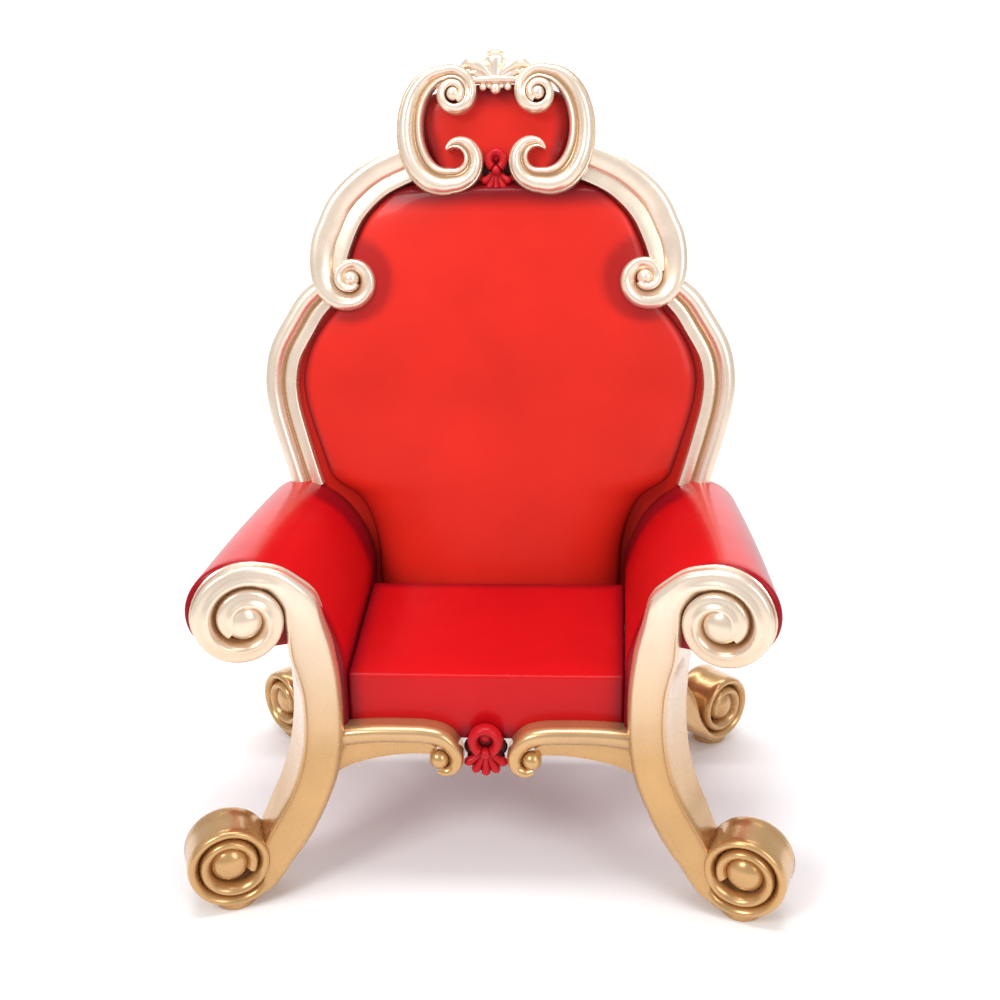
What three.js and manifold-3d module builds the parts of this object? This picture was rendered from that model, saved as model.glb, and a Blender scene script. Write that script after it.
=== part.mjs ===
// A ceremonial throne: a glossy moulded armchair with a tall red back and seat, rolled red arms
// and a frame of bold gold scrolls. Units are millimetres, +Z is up and the throne faces -Y.
// The origin lies on the floor under the middle of the whole throne.

import * as THREE from 'three';
import { LoftGeometry } from 'three/addons/geometries/LoftGeometry.js';
import { mergeVertices } from 'three/addons/utils/BufferGeometryUtils.js';
import Module from 'manifold-3d';

const wasm = await Module();
wasm.setup();

// ---- driving dimensions ------------------------------------------------------------------

const GAP = 0.35; // clearance between pieces that touch
const TURN = Math.PI * 2;
const TURN_FILL = 0.988; // share of a scroll's pitch that its moulding fills
const WELD = 1e-4;

const SEAT = { top: 500, bottom: 350, front: 15, back: 535, frontHalf: 296, backHalf: 322, edge: 12 };
const BACK = { y: 600, atHeight: 500, lean: THREE.MathUtils.degToRad( 6 ) };
const LEG = { x: 340, y: - 60, turn: THREE.MathUtils.degToRad( 20 ) };
const REAR = { x: 405, y: 505, turn: THREE.MathUtils.degToRad( 42 ) };

const PAD = { radius: 44, height: 26 };

// Height of each layer of the back, measured out from the leaning back plane.
const LAYER = { rear: - 92, border: - 48, crest: - 30, cove: - 10, rail: 0, shoulder: 8, crestFront: 20 };

// ---- finishes ----------------------------------------------------------------------------

const finish = {
	gold: { color: 0xd9b58a, roughness: 0.28, metalness: 0.75 },
	panelRed: { color: 0xe23a30, roughness: 0.2, metalness: 0 },
	armRed: { color: 0xd4262a, roughness: 0.18, metalness: 0 },
	crimson: { color: 0xb81a2e, roughness: 0.22, metalness: 0 },
};

// ---- faces: flat working planes, with a point given as (across, height, out) ----------------

function face( origin, across, up, out ) {

	return ( a, b, c ) => new THREE.Vector3()
		.addScaledVector( across, a )
		.addScaledVector( up, b )
		.addScaledVector( out, c )
		.add( origin );

}

const X = new THREE.Vector3( 1, 0, 0 );
const Z = new THREE.Vector3( 0, 0, 1 );

const backFace = face(
	new THREE.Vector3( 0, BACK.y - BACK.atHeight * Math.tan( BACK.lean ), 0 ),
	X,
	new THREE.Vector3( 0, Math.tan( BACK.lean ), 1 ),
	new THREE.Vector3( 0, - Math.cos( BACK.lean ), Math.sin( BACK.lean ) ),
);

const legAcross = new THREE.Vector3( Math.cos( LEG.turn ), - Math.sin( LEG.turn ), 0 );
const legOut = new THREE.Vector3( - Math.sin( LEG.turn ), - Math.cos( LEG.turn ), 0 );
const legFace = face( new THREE.Vector3( LEG.x, LEG.y, 0 ), legAcross, Z, legOut );

const rearAcross = new THREE.Vector3( Math.cos( REAR.turn ), Math.sin( REAR.turn ), 0 );
const rearOut = new THREE.Vector3( Math.sin( REAR.turn ), - Math.cos( REAR.turn ), 0 );
const rearFace = face( new THREE.Vector3( REAR.x, REAR.y, 0 ), rearAcross, Z, rearOut );

const floorFace = face( new THREE.Vector3(), X, new THREE.Vector3( 0, 1, 0 ), Z );
const apronFace = face( new THREE.Vector3( 0, SEAT.front, 0 ), X, Z, new THREE.Vector3( 0, - 1, 0 ) );

// ---- solids ------------------------------------------------------------------------------

function solid( geometry ) {

	const plain = new THREE.BufferGeometry();
	plain.setAttribute( 'position', geometry.attributes.position );
	plain.setIndex( geometry.index );
	const merged = mergeVertices( plain, WELD );
	return new wasm.Manifold( new wasm.Mesh( {
		numProp: 3,
		vertProperties: new Float32Array( merged.attributes.position.array ),
		triVerts: new Uint32Array( merged.index.array ),
	} ) );

}

function loft( sections ) {

	return solid( new LoftGeometry( sections, { capStart: true, capEnd: true } ) );

}

function join( ...solids ) {

	return solids.reduce( ( whole, next ) => whole.add( next ) );

}

function cut( body, ...cutters ) {

	return cutters.reduce( ( rest, cutter ) => rest.subtract( cutter ), body );

}

// Turns a right-hand body into the left-hand one and the other way round.
function mirrored( body ) {

	const { vertProperties, triVerts } = body.getMesh();
	const position = vertProperties.map( ( value, i ) => i % 3 === 0 ? - value : value );
	const turnedOver = triVerts.toReversed();
	return new wasm.Manifold( new wasm.Mesh( {
		numProp: 3, vertProperties: position, triVerts: turnedOver,
	} ) );

}

function geometryOf( body ) {

	const { vertProperties, triVerts } = body.getMesh();
	const geometry = new THREE.BufferGeometry();
	geometry.setAttribute( 'position', new THREE.BufferAttribute( vertProperties, 3 ) );
	geometry.setIndex( new THREE.BufferAttribute( triVerts, 1 ) );
	geometry.computeVertexNormals();
	return geometry;

}

// ---- scroll mouldings --------------------------------------------------------------------

// A station of a moulding is { x, z, width } on its working plane. A spiral's stations run from
// its mouth inwards: after each whole turn its radius is `shrink` times what it was, less
// `pitch`. `hand` is +1 for anticlockwise. A whole number of steps in each turn keeps
// neighbouring turns parallel.
function spiral( { x, z, radius, from, count, hand, shrink = 1, pitch = 0, steps } ) {

	const stations = [];
	for ( let i = 0; i <= count; i ++ ) {

		const turns = i / steps;
		const outer = radius * shrink ** turns - pitch * turns;
		const width = ( radius * shrink ** turns * ( 1 - shrink ) + pitch ) * TURN_FILL;
		const middle = outer - width / 2;
		const angle = THREE.MathUtils.degToRad( from ) + hand * turns * TURN;
		stations.push( { x: x + middle * Math.cos( angle ), z: z + middle * Math.sin( angle ), width } );

	}

	return stations;

}

function station( [ x, z, width ] ) {

	return { x, z, width };

}

function point( station ) {

	return new THREE.Vector2( station.x, station.z );

}

// Smooth stretch from the last of `before` to the first of `after`, which it leaves out.
// `pull` is how far each end keeps its own direction, and `bulge` widens the left-hand side.
function bridge( before, after, { pull, bulge = 0, count } ) {

	const start = point( before.at( - 1 ) );
	const end = point( after[ 0 ] );
	const leaving = start.clone().sub( point( before.at( - 2 ) ) ).setLength( pull[ 0 ] );
	const arriving = point( after[ 1 ] ).sub( end ).setLength( pull[ 1 ] );
	const pulls = [ start.clone().add( leaving ), end.clone().sub( arriving ) ];
	const curve = new THREE.CubicBezierCurve( start, ...pulls, end );
	const stations = [];
	for ( let i = 1; i < count; i ++ ) {

		const t = i / count;
		const spot = curve.getPoint( t );
		const heading = curve.getTangent( t );
		const extra = bulge * ( 1 - ( 2 * t - 1 ) ** 4 );
		stations.push( {
			x: spot.x - heading.y * extra / 2,
			z: spot.y + heading.x * extra / 2,
			width: THREE.MathUtils.lerp( before.at( - 1 ).width, after[ 0 ].width, t ) + extra,
		} );

	}

	return stations;

}

// Stations along a smooth curve through a few points [ x, z, width ].
function along( points, count ) {

	const knots = points.map( ( p ) => new THREE.Vector3( ...p ) );
	const curve = new THREE.CatmullRomCurve3( knots, false, 'centripetal' );
	return curve.getPoints( count ).map( ( p ) => station( p.toArray() ) );

}

// Profiles are [ across, drop ] from the left of the direction of travel to the right, both as
// shares of the width: `drop` is how far the surface lies behind the front of the moulding.
const DOUBLE_RIDGE = [
	[ 0.5, 0.42 ], [ 0.36, 0.08 ], [ 0.1, 0.02 ], [ - 0.1, 0.28 ], [ - 0.3, 0.12 ], [ - 0.5, 0.42 ],
];
const ROLL = [
	[ 0.5, 0.45 ], [ 0.34, 0.12 ], [ 0.08, 0 ], [ - 0.2, 0.06 ], [ - 0.42, 0.26 ], [ - 0.5, 0.5 ],
];
const FLAT_BAND = [ [ 0.5, 0.12 ], [ - 0.3, 0.08 ], [ - 0.5, 0.24 ] ];
const LEG_BAND = [
	[ 0.5, 0.08 ], [ - 0.12, 0.07 ], [ - 0.27, 0 ], [ - 0.43, 0.08 ], [ - 0.5, 0.3 ],
];

const BOSS = { flank: 0.5, crown: 0.6, sides: 8 };

// Sweeps a profile along stations, from the level `back` (a number or a function of the
// station) to `front`. `grow` swells the moulding, for cutting room for it in a neighbour.
function sweep( plane, stations, profile, back, front, grow = 0 ) {

	const sections = stations.map( ( station, i ) => {

		const before = stations[ Math.max( i - 1, 0 ) ];
		const after = stations[ Math.min( i + 1, stations.length - 1 ) ];
		const heading = point( after ).sub( point( before ) ).normalize();
		const behind = ( typeof back === 'function' ? back( station ) : back ) - grow;
		const at = ( across, out ) => {

			const side = across * ( station.width + 2 * grow );
			return plane( station.x - heading.y * side, station.z + heading.x * side, out );

		};
		const surface = profile.map( ( [ across, drop ] ) => at( across, front + grow - drop * station.width ) );
		return [ at( 0.5, behind ), ...surface, at( - 0.5, behind ) ];

	} );
	return loft( sections );

}

// A round disc or dome standing on a plane: rings are [ radius, level out ].
function turned( plane, { x, z }, rings, sides = 12 ) {

	const sections = rings.map( ( [ radius, out ] ) => {

		const ring = [];
		for ( let i = 0; i < sides; i ++ ) {

			const angle = TURN * i / sides;
			ring.push( plane( x + radius * Math.cos( angle ), z + radius * Math.sin( angle ), out ) );

		}

		return ring;

	} );
	return loft( sections );

}

// The boss in the eye of a volute, or a drop of the same shape.
function boss( plane, centre, radius, back, top ) {

	const { flank, crown, sides } = BOSS;
	const rings = [ [ radius, back ], [ radius, top - flank * radius ], [ crown * radius, top ] ];
	return turned( plane, centre, rings, sides );

}

// The low round pad that a foot stands on.
function pad( { x, y } ) {

	return turned( floorFace, { x, z: y }, [ [ PAD.radius, 0 ], [ PAD.radius, PAD.height ] ] );

}

// ---- front legs ----------------------------------------------------------------------------

const ARM_VOLUTE = {
	x: 140, z: 677, radius: 118.7, from: 110, count: 14, hand: - 1, pitch: 49, steps: 11, boss: 38,
};
const FOOT_VOLUTE = {
	x: 211, z: 113, radius: 104, from: 235, count: 18, hand: 1, pitch: 26, steps: 11, boss: 41,
};
// Stations [ x, z, width ] of the leg from one volute to the other.
const LEG_STRETCH = [
	[ 136, 56, 36 ], [ 120, 84, 52 ], [ 104, 126, 84 ], [ 73, 173, 94 ], [ 38, 235, 90 ], [ 14, 292, 90 ],
	[ - 1, 354, 89 ], [ - 7, 419, 87 ], [ - 6, 498, 88 ], [ 0, 545, 92 ], [ 8, 590, 96 ], [ 17, 650, 82 ],
	[ 25, 695, 74 ], [ 46, 727, 60 ], [ 75, 754, 52 ],
].reverse();
const LEG_DEPTH = { top: 38, middle: 200, foot: 100, armReach: [ 105, 215 ], footReach: [ 117, 400 ] };
const LEG_BOSS = 3; // how far the bosses stand proud
const PAD_AT = 208; // how far across the leg's face its pad stands
const LEG_ROOM = 3; // stations of each volute that the leg's room in its neighbours takes in

// The leg is slim behind the arm volute, deep along the seat and half as deep at the foot.
function legBack( station ) {

	const { top, middle, foot, armReach, footReach } = LEG_DEPTH;
	const away = ( volute ) => point( station ).distanceTo( point( volute ) );
	const below = THREE.MathUtils.smoothstep( away( ARM_VOLUTE ), armReach[ 0 ], armReach[ 1 ] );
	const above = ( away( FOOT_VOLUTE ) - footReach[ 0 ] ) / ( footReach[ 1 ] - footReach[ 0 ] );
	return - Math.min(
		THREE.MathUtils.lerp( top, middle, below ),
		THREE.MathUtils.lerp( foot, middle, THREE.MathUtils.clamp( above, 0, 1 ) ),
	);

}

function legStations() {

	return [ ...spiral( ARM_VOLUTE ).reverse(), ...LEG_STRETCH.map( station ), ...spiral( FOOT_VOLUTE ) ];

}

function frontLeg() {

	return join(
		sweep( legFace, legStations(), LEG_BAND, legBack, 0 ),
		boss( legFace, ARM_VOLUTE, ARM_VOLUTE.boss, - LEG_DEPTH.top, LEG_BOSS ),
		boss( legFace, FOOT_VOLUTE, FOOT_VOLUTE.boss, - LEG_DEPTH.foot, LEG_BOSS ),
		pad( legFace( PAD_AT, 0, - LEG_DEPTH.foot / 2 ) ),
	);

}

// The stretch of a front leg between its two volutes, swelled to cut room in its neighbours.
function legRoom() {

	const stretch = legStations().slice( ARM_VOLUTE.count - LEG_ROOM, LEG_ROOM - FOOT_VOLUTE.count );
	return sweep( legFace, stretch, LEG_BAND, legBack, 0, GAP );

}

// ---- rear legs -----------------------------------------------------------------------------

const REAR_VOLUTE = {
	x: 222, z: 110, radius: 100, from: 225, count: 15, hand: 1, pitch: 28, steps: 11, boss: 38,
};
const REAR_STRETCH = [
	[ - 5, 455, 80 ], [ - 15, 410, 84 ], [ - 18, 360, 88 ], [ - 11, 310, 92 ], [ 5, 258, 96 ], [ 31, 206, 98 ],
	[ 68, 155, 94 ], [ 112, 100, 60 ],
];
const REAR_DEPTH = 110;

function rearLeg() {

	const half = REAR_DEPTH / 2;
	return join(
		sweep( rearFace, [ ...REAR_STRETCH.map( station ), ...spiral( REAR_VOLUTE ) ], LEG_BAND, - half, half ),
		boss( rearFace, REAR_VOLUTE, REAR_VOLUTE.boss, - half, half ),
		pad( rearFace( REAR_VOLUTE.x, 0, 0 ) ),
	);

}

// ---- frame of the back -------------------------------------------------------------------

const RAIL = [
	[ 412, 1243, 80 ], [ 456, 1206, 90 ], [ 489, 1162, 93 ], [ 538, 1084, 95 ], [ 554, 1010, 95 ],
	[ 548, 941, 93 ], [ 528, 864, 92 ], [ 505, 789, 90 ], [ 484, 720, 92 ],
];
const SHOULDER_ROLL = [ [ 207, 1557, 56 ], [ 311, 1508, 58 ], [ 385, 1441, 60 ], [ 423, 1368, 60 ] ];
const SHOULDER_COVE = [
	[ 189, 1521, 42 ], [ 287, 1473, 42 ], [ 349, 1412, 43 ], [ 382, 1347, 44 ], [ 396, 1296, 38 ],
];
const SHOULDER_VOLUTE = {
	x: 366, z: 1254, radius: 98.6, from: 0, count: 15, hand: - 1, shrink: 0.4, steps: 11, boss: 24,
};
const CREST_VOLUTE = {
	x: 101, z: 1692, radius: 70, from: 62, count: 13, hand: 1, shrink: 0.5, steps: 10, boss: 25,
};
const CREST_HOOK = { x: 97, z: 1546, radius: 86, from: 282, count: 9, hand: - 1, shrink: 0.34, steps: 13 };
const HOOK_TAPER = { mouth: 1.12, loss: 0.95, power: 4, tip: 3 };
const CREST_SIDE = { pull: [ 112, 118 ], bulge: 16, count: 9 };
const FRAME_COUNT = { rail: 14, roll: 7, cove: 8, turnIn: 3 };
const TURN_IN = [ 26, 40 ]; // how far the shoulder's roll keeps its direction into its volute

function rail( grow = 0 ) {

	return sweep( backFace, along( RAIL, FRAME_COUNT.rail ), DOUBLE_RIDGE, LAYER.border, LAYER.rail, grow );

}

// A broad roll that winds into the volute, with a cove along its inner side.
function shoulder( grow = 0 ) {

	const arch = along( SHOULDER_ROLL, FRAME_COUNT.roll );
	const volute = spiral( SHOULDER_VOLUTE );
	const turnIn = bridge( arch, volute, { pull: TURN_IN, count: FRAME_COUNT.turnIn } );
	return join(
		sweep( backFace, [ ...arch, ...turnIn, ...volute ], ROLL, LAYER.border, LAYER.shoulder, grow ),
		sweep( backFace, along( SHOULDER_COVE, FRAME_COUNT.cove ), FLAT_BAND, LAYER.border, LAYER.cove, grow ),
		boss( backFace, SHOULDER_VOLUTE, SHOULDER_VOLUTE.boss, LAYER.border - grow, LAYER.shoulder ),
	);

}

function crestScroll( grow = 0 ) {

	const upper = spiral( CREST_VOLUTE ).reverse();
	const hook = spiral( CREST_HOOK );
	const { mouth, loss, power, tip } = HOOK_TAPER;
	hook.forEach( ( station, i ) => {

		const share = i / ( hook.length - 1 );
		station.width = Math.max( station.width * ( mouth - loss * share ** power ), tip );

	} );
	const side = bridge( upper, hook, CREST_SIDE );
	return join(
		sweep( backFace, [ ...upper, ...side, ...hook ], DOUBLE_RIDGE, LAYER.crest, LAYER.crestFront, grow ),
		boss( backFace, CREST_VOLUTE, CREST_VOLUTE.boss, LAYER.crest - grow, LAYER.crestFront ),
	);

}

// ---- apron ---------------------------------------------------------------------------------

const APRON_TUBE = [
	[ 366, 353, 52 ], [ 300, 366, 50 ], [ 240, 373, 46 ], [ 170, 374, 45 ], [ 128, 372, 45 ], [ 95, 364, 43 ],
	[ 73, 345, 37 ], [ 62, 320, 32 ], [ 68, 298, 26 ], [ 86, 289, 19 ], [ 102, 294, 16 ],
];
const APRON_EYE = { x: 100, z: 315, radius: 22 };
const APRON_COVE = [
	[ 366, 287, 62 ], [ 300, 320, 56 ], [ 245, 335, 52 ], [ 180, 343, 46 ], [ 124, 338, 42 ],
];
const APRON_LEVEL = { back: GAP, cove: 26, front: 50 };
const APRON_COUNT = { tube: 16, cove: 5 };

function apronMouldings( grow = 0 ) {

	const { back, front, cove } = APRON_LEVEL;
	return join(
		sweep( apronFace, along( APRON_TUBE, APRON_COUNT.tube ), ROLL, back, front, grow ),
		sweep( apronFace, along( APRON_COVE, APRON_COUNT.cove ), FLAT_BAND, back, cove, grow ),
		boss( apronFace, APRON_EYE, APRON_EYE.radius, back - grow, front ),
	);

}

function apronScroll() {

	return cut( apronMouldings(), legRoom(), arm( GAP ) );

}

// ---- seat ----------------------------------------------------------------------------------

function seat() {

	const level = ( z, inset ) => [
		new THREE.Vector3( - SEAT.frontHalf + inset, SEAT.front + inset, z ),
		new THREE.Vector3( SEAT.frontHalf - inset, SEAT.front + inset, z ),
		new THREE.Vector3( SEAT.backHalf - inset, SEAT.back - inset, z ),
		new THREE.Vector3( - SEAT.backHalf + inset, SEAT.back - inset, z ),
	];
	const { bottom, top, edge } = SEAT;
	const corner = ( 1 - Math.SQRT1_2 ) * edge;
	const rim = [ level( top - edge, 0 ), level( top - corner, corner ), level( top, edge ) ];
	return loft( [ level( bottom, 0 ), ...rim ] );

}

// ---- arms ----------------------------------------------------------------------------------

const ARM = {
	front: { along: 146, z: 688, radius: 103, wall: 296 },
	back: { x: 519, z: 631, radius: 106, wall: 331 },
	bottom: 350, outerWall: 385, eaves: 0.85, lengths: 4, belly: 4,
	roll: { from: - 115, to: 128, steps: 11 }, flank: { out: 34, down: 45, foot: 540, steps: 4 },
};

// Outline of the arm across its length, from under the roll over the top to the inner wall.
function armOutline( { x, z }, radius, wall, bottom ) {

	const { roll, flank } = ARM;
	const points = [];
	for ( let j = 0; j <= roll.steps; j ++ ) {

		const angle = THREE.MathUtils.degToRad( THREE.MathUtils.lerp( roll.from, roll.to, j / roll.steps ) );
		points.push( new THREE.Vector2( x + radius * Math.cos( angle ), z + radius * Math.sin( angle ) ) );

	}

	const crown = points.at( - 1 );
	const shoulder = new THREE.Vector2( wall + flank.out, crown.y - flank.down );
	const foot = new THREE.Vector2( wall, flank.foot );
	const inner = new THREE.QuadraticBezierCurve( crown, shoulder, foot );
	points.push( ...inner.getPoints( flank.steps ).slice( 1 ) );
	points.push( new THREE.Vector2( wall, bottom ), new THREE.Vector2( ARM.outerWall, bottom ) );
	points.push( new THREE.Vector2( ARM.outerWall, z - ARM.eaves * radius ) );
	return points.reverse();

}

// The arm runs from the turned plane behind the volute to the leaning slab of the back.
function arm( grow = 0 ) {

	const start = legFace( ARM.front.along, 0, - LEG_DEPTH.top - GAP );
	const sections = [];
	for ( let i = 0; i <= ARM.lengths; i ++ ) {

		const t = i / ARM.lengths;
		const mix = ( a, b ) => THREE.MathUtils.lerp( a, b, t );
		const centre = { x: mix( start.x, ARM.back.x ), z: mix( ARM.front.z, ARM.back.z ) };
		const radius = mix( ARM.front.radius, ARM.back.radius ) + ARM.belly * Math.sin( Math.PI * t ) + grow;
		const wall = mix( ARM.front.wall, ARM.back.wall ) - grow;
		sections.push( armOutline( centre, radius, wall, ARM.bottom - grow ).map( ( { x, y: z } ) => {

			const frontY = start.y - ( x - start.x ) * Math.tan( LEG.turn ) - grow;
			const backY = backFace( 0, z, 0 ).y - ( LAYER.border + GAP ) / Math.cos( BACK.lean ) + grow;
			return new THREE.Vector3( x, mix( frontY, backY ), z );

		} ) );

	}

	return loft( sections );

}

// ---- back panel ----------------------------------------------------------------------------

// Half outline of the slab behind the frame, from the middle of the top to the bottom corner.
const SLAB = [
	[ 0, 1716 ], [ 100, 1716 ], [ 160, 1694 ], [ 196, 1650 ], [ 206, 1600 ], [ 196, 1562 ], [ 240, 1524 ],
	[ 304, 1490 ], [ 374, 1428 ], [ 414, 1350 ], [ 424, 1280 ], [ 430, 1240 ], [ 478, 1190 ], [ 536, 1122 ],
	[ 560, 1035 ], [ 552, 926 ], [ 522, 826 ], [ 492, 720 ], [ 470, 640 ], [ 420, 540 ], [ 400, 350 ], [ 0, 350 ],
];
// Crowned field: half width at each height, from the bottom up to under the crest.
const FIELD = [
	[ 470, 317 ], [ 580, 322 ], [ 650, 340 ], [ 705, 368 ], [ 750, 425 ], [ 833, 458 ], [ 930, 488 ],
	[ 1030, 496 ], [ 1110, 462 ], [ 1180, 404 ], [ 1252, 376 ], [ 1330, 350 ], [ 1397, 322 ], [ 1435, 286 ],
	[ 1456, 250 ],
];
// Levels of the field from its edge (share 1 of the half width) to its middle.
const CROWN = [ [ 1, - 38 ], [ 0.96, - 30 ], [ 0.87, - 18 ], [ 0.5, - 2 ], [ 0, 8 ] ];
const BULGE = { rise: 52, from: 1000, to: 520 };
const FIELD_END = 0.1; // share of the crown left along the top edge
const ROOTED = 4; // how deep the fields are set into the slab
const CREST_FIELD = [
	[ 0, 1712 ], [ 96, 1712 ], [ 156, 1690 ], [ 190, 1648 ], [ 200, 1600 ], [ 156, 1580 ], [ 150, 1520 ],
	[ 110, 1478 ], [ 0, 1474 ],
];

// A plate of even thickness on the back plane, from half of its outline.
function plate( half, back, front ) {

	const mirrored = half.slice( 1, - 1 ).map( ( [ x, z ] ) => [ - x, z ] ).reverse();
	const outline = [ ...half, ...mirrored ].reverse();
	return loft( [ back, front ].map( ( out ) => outline.map( ( [ x, z ] ) => backFace( x, z, out ) ) ) );

}

function field() {

	const edge = CROWN[ 0 ][ 1 ];
	const sections = FIELD.map( ( [ z, half ], i ) => {

		const bulge = BULGE.rise * THREE.MathUtils.smoothstep( BULGE.from - z, 0, BULGE.from - BULGE.to );
		const crowned = i === FIELD.length - 1 ? FIELD_END : 1;
		const side = CROWN.map( ( [ share, out ], n ) => {

			const rise = n > 0 ? ( out - edge + bulge ) * crowned : 0;
			return [ share * half, edge + rise ];

		} );
		side.unshift( [ half, LAYER.border - ROOTED ] );
		const rightSide = side.map( ( [ x, out ] ) => backFace( x, z, out ) );
		const leftSide = side.slice( 0, - 1 ).map( ( [ x, out ] ) => backFace( - x, z, out ) ).reverse();
		return [ ...rightSide, ...leftSide ].reverse();

	} );
	return loft( sections );

}

const POCKET_ROOM = 2; // clearance round the volute

// Room in the field for a shoulder volute, following the outer edge of its first turn.
function pocket( side ) {

	const { x, z, radius, from, hand, shrink, steps } = SHOULDER_VOLUTE;
	const outline = [];
	for ( let i = 0; i < steps; i ++ ) {

		const reach = radius * shrink ** ( i / steps ) + POCKET_ROOM;
		const angle = THREE.MathUtils.degToRad( from ) + hand * TURN * i / steps;
		outline.push( [ side * ( x + reach * Math.cos( angle ) ), z + reach * Math.sin( angle ) ] );

	}

	if ( side > 0 ) outline.reverse();
	const levels = [ LAYER.border - GAP, CROWN.at( - 1 )[ 1 ] + BULGE.rise ];
	return loft( levels.map( ( out ) => outline.map( ( [ a, h ] ) => backFace( a, h, out ) ) ) );

}

function backPanel() {

	return join(
		cut( field(), pocket( 1 ), pocket( - 1 ) ),
		plate( SLAB, LAYER.rear, LAYER.border - GAP ),
		plate( CREST_FIELD, LAYER.border - ROOTED, LAYER.crest - GAP ),
	);

}

// ---- ornaments -----------------------------------------------------------------------------

const FINIAL = {
	bar: [ [ - 50, 1722, 17 ], [ 0, 1723, 20 ], [ 50, 1722, 17 ] ],
	outerLeaf: [ [ 8, 1728, 12 ], [ 30, 1752, 18 ], [ 58, 1764, 18 ], [ 84, 1757, 9 ] ],
	innerLeaf: [ [ 6, 1730, 10 ], [ 20, 1752, 14 ], [ 35, 1771, 7 ] ],
	drops: [ [ 0, 1704, 14 ], [ 30, 1707, 9 ], [ - 30, 1707, 9 ] ],
	stem: [ [ 10, 1726 ], [ 13, 1750 ], [ 19, 1773 ], [ 16, 1777 ], [ 20, 1783 ], [ 9, 1790 ] ],
	stemDepth: 0.7, sides: 8, middle: - 10, back: - 28, leafBack: - 22, front: 10, dropFront: 4,
};
const LEAF = [ [ 0.5, 0.5 ], [ 0.1, 0 ], [ - 0.5, 0.5 ] ];

function leaf( points, flip ) {

	const stations = along( points, 4 ).map( ( station ) => ( { ...station, x: flip * station.x } ) );
	return sweep( backFace, flip > 0 ? stations : stations.reverse(), LEAF, FINIAL.leafBack, FINIAL.front );

}

function finial() {

	const { stem, stemDepth, middle, back, front } = FINIAL;
	const rings = stem.map( ( [ radius, z ] ) => {

		const ring = [];
		for ( let i = 0; i < FINIAL.sides; i ++ ) {

			const angle = TURN * i / FINIAL.sides;
			ring.push( backFace( radius * Math.cos( angle ), z, middle - stemDepth * radius * Math.sin( angle ) ) );

		}

		return ring;

	} );
	return join(
		loft( rings ),
		sweep( backFace, along( FINIAL.bar, 2 ), LEAF, back, front ),
		...[ 1, - 1 ].flatMap( ( flip ) => [ leaf( FINIAL.outerLeaf, flip ), leaf( FINIAL.innerLeaf, flip ) ] ),
		...FINIAL.drops.map( ( [ x, z, radius ] ) => boss( backFace, { x, z }, radius, back, FINIAL.dropFront ) ),
	);

}

// A shell ornament: a dished button above a fan of fluted lobes. The fan's rings are shares of
// its size and thickness, the button's are shares of its radius with a level above the face.
const ROSETTE = {
	lobes: 5, points: 20, scallop: 0.14, ridge: 5, crown: 0.7, slim: 0.86, sides: 10,
	fan: { flank: [ 1, 0.45 ], slope: [ 0.7, 0.8 ], tip: [ 0.2, 0.93 ] },
	button: [ [ 1, - 4 ], [ 0.72, 3 ], [ 0.4, - 1 ], [ 0.25, - 9 ], [ 0.1, - 8 ] ],
};
const CREST_ROSETTE = { z: 1510, fan: 50, button: 30, rise: 26, thickness: 42 };
const APRON_ROSETTE = { z: 331, fan: 62, button: 39, rise: 30, thickness: 44 };

// One ring of the fan; the lobes and flutes lie along its lower half.
function fanRing( plane, { z, fan }, size, out, ridge ) {

	const { lobes, points, scallop, crown, slim } = ROSETTE;
	const ring = [];
	for ( let i = 0; i < points; i ++ ) {

		const angle = TURN * i / points;
		const below = THREE.MathUtils.smoothstep( - Math.sin( angle ), - 0.5, 0.35 );
		const flute = Math.abs( Math.sin( lobes * angle ) );
		const reach = fan * size * THREE.MathUtils.lerp( crown, 1 - scallop * flute, below );
		const level = out - ridge * flute * below;
		ring.push( plane( slim * reach * Math.cos( angle ), z + reach * Math.sin( angle ), level ) );

	}

	return ring;

}

function rosette( plane, shape, back ) {

	const { ridge, fan, button } = ROSETTE;
	const top = back + shape.thickness;
	const ringAt = ( [ size, share ], depth ) => {

		return fanRing( plane, shape, size, back + share * shape.thickness, depth );

	};
	const centre = { x: 0, z: shape.z + shape.rise };
	const rings = button.map( ( [ share, level ] ) => [ share * shape.button, top + level ] );
	const front = [ ringAt( fan.flank, ridge ), ringAt( fan.slope, ridge ), ringAt( fan.tip, 0 ) ];
	return join(
		loft( [ ringAt( [ 1, 0 ], 0 ), ...front ] ),
		turned( plane, centre, [ [ shape.button, back ], ...rings ], ROSETTE.sides ),
	);

}

// ---- assembly ----------------------------------------------------------------------------

function mesh( name, body, look ) {

	const piece = new THREE.Mesh( geometryOf( body ), new THREE.MeshStandardMaterial( finish[ look ] ) );
	piece.name = name;
	return piece;

}

const throne = new THREE.Group();
const halves = {
	front_leg: [ frontLeg(), 'gold' ],
	rear_leg: [ cut( rearLeg(), arm( GAP ) ), 'gold' ],
	side_rail: [ cut( rail(), shoulder( GAP ), pocket( 1 ), arm( GAP ) ), 'gold' ],
	shoulder_scroll: [ cut( shoulder(), crestScroll( GAP ) ), 'gold' ],
	crest_scroll: [ crestScroll(), 'gold' ],
	apron_scroll: [ apronScroll(), 'gold' ],
	arm: [ cut( arm(), legRoom() ), 'armRed' ],
};
for ( const [ side, flip ] of [ [ 'right', 1 ], [ 'left', - 1 ] ] ) {

	const half = new THREE.Group();
	half.scale.x = flip;
	for ( const [ name, [ body, look ] ] of Object.entries( halves ) ) {

		half.add( mesh( `${ side }_${ name }`, body, look ) );

	}

	throne.add( half );

}

throne.add( mesh( 'seat', seat(), 'armRed' ) );
throne.add( mesh( 'back_panel', backPanel(), 'panelRed' ) );

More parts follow.
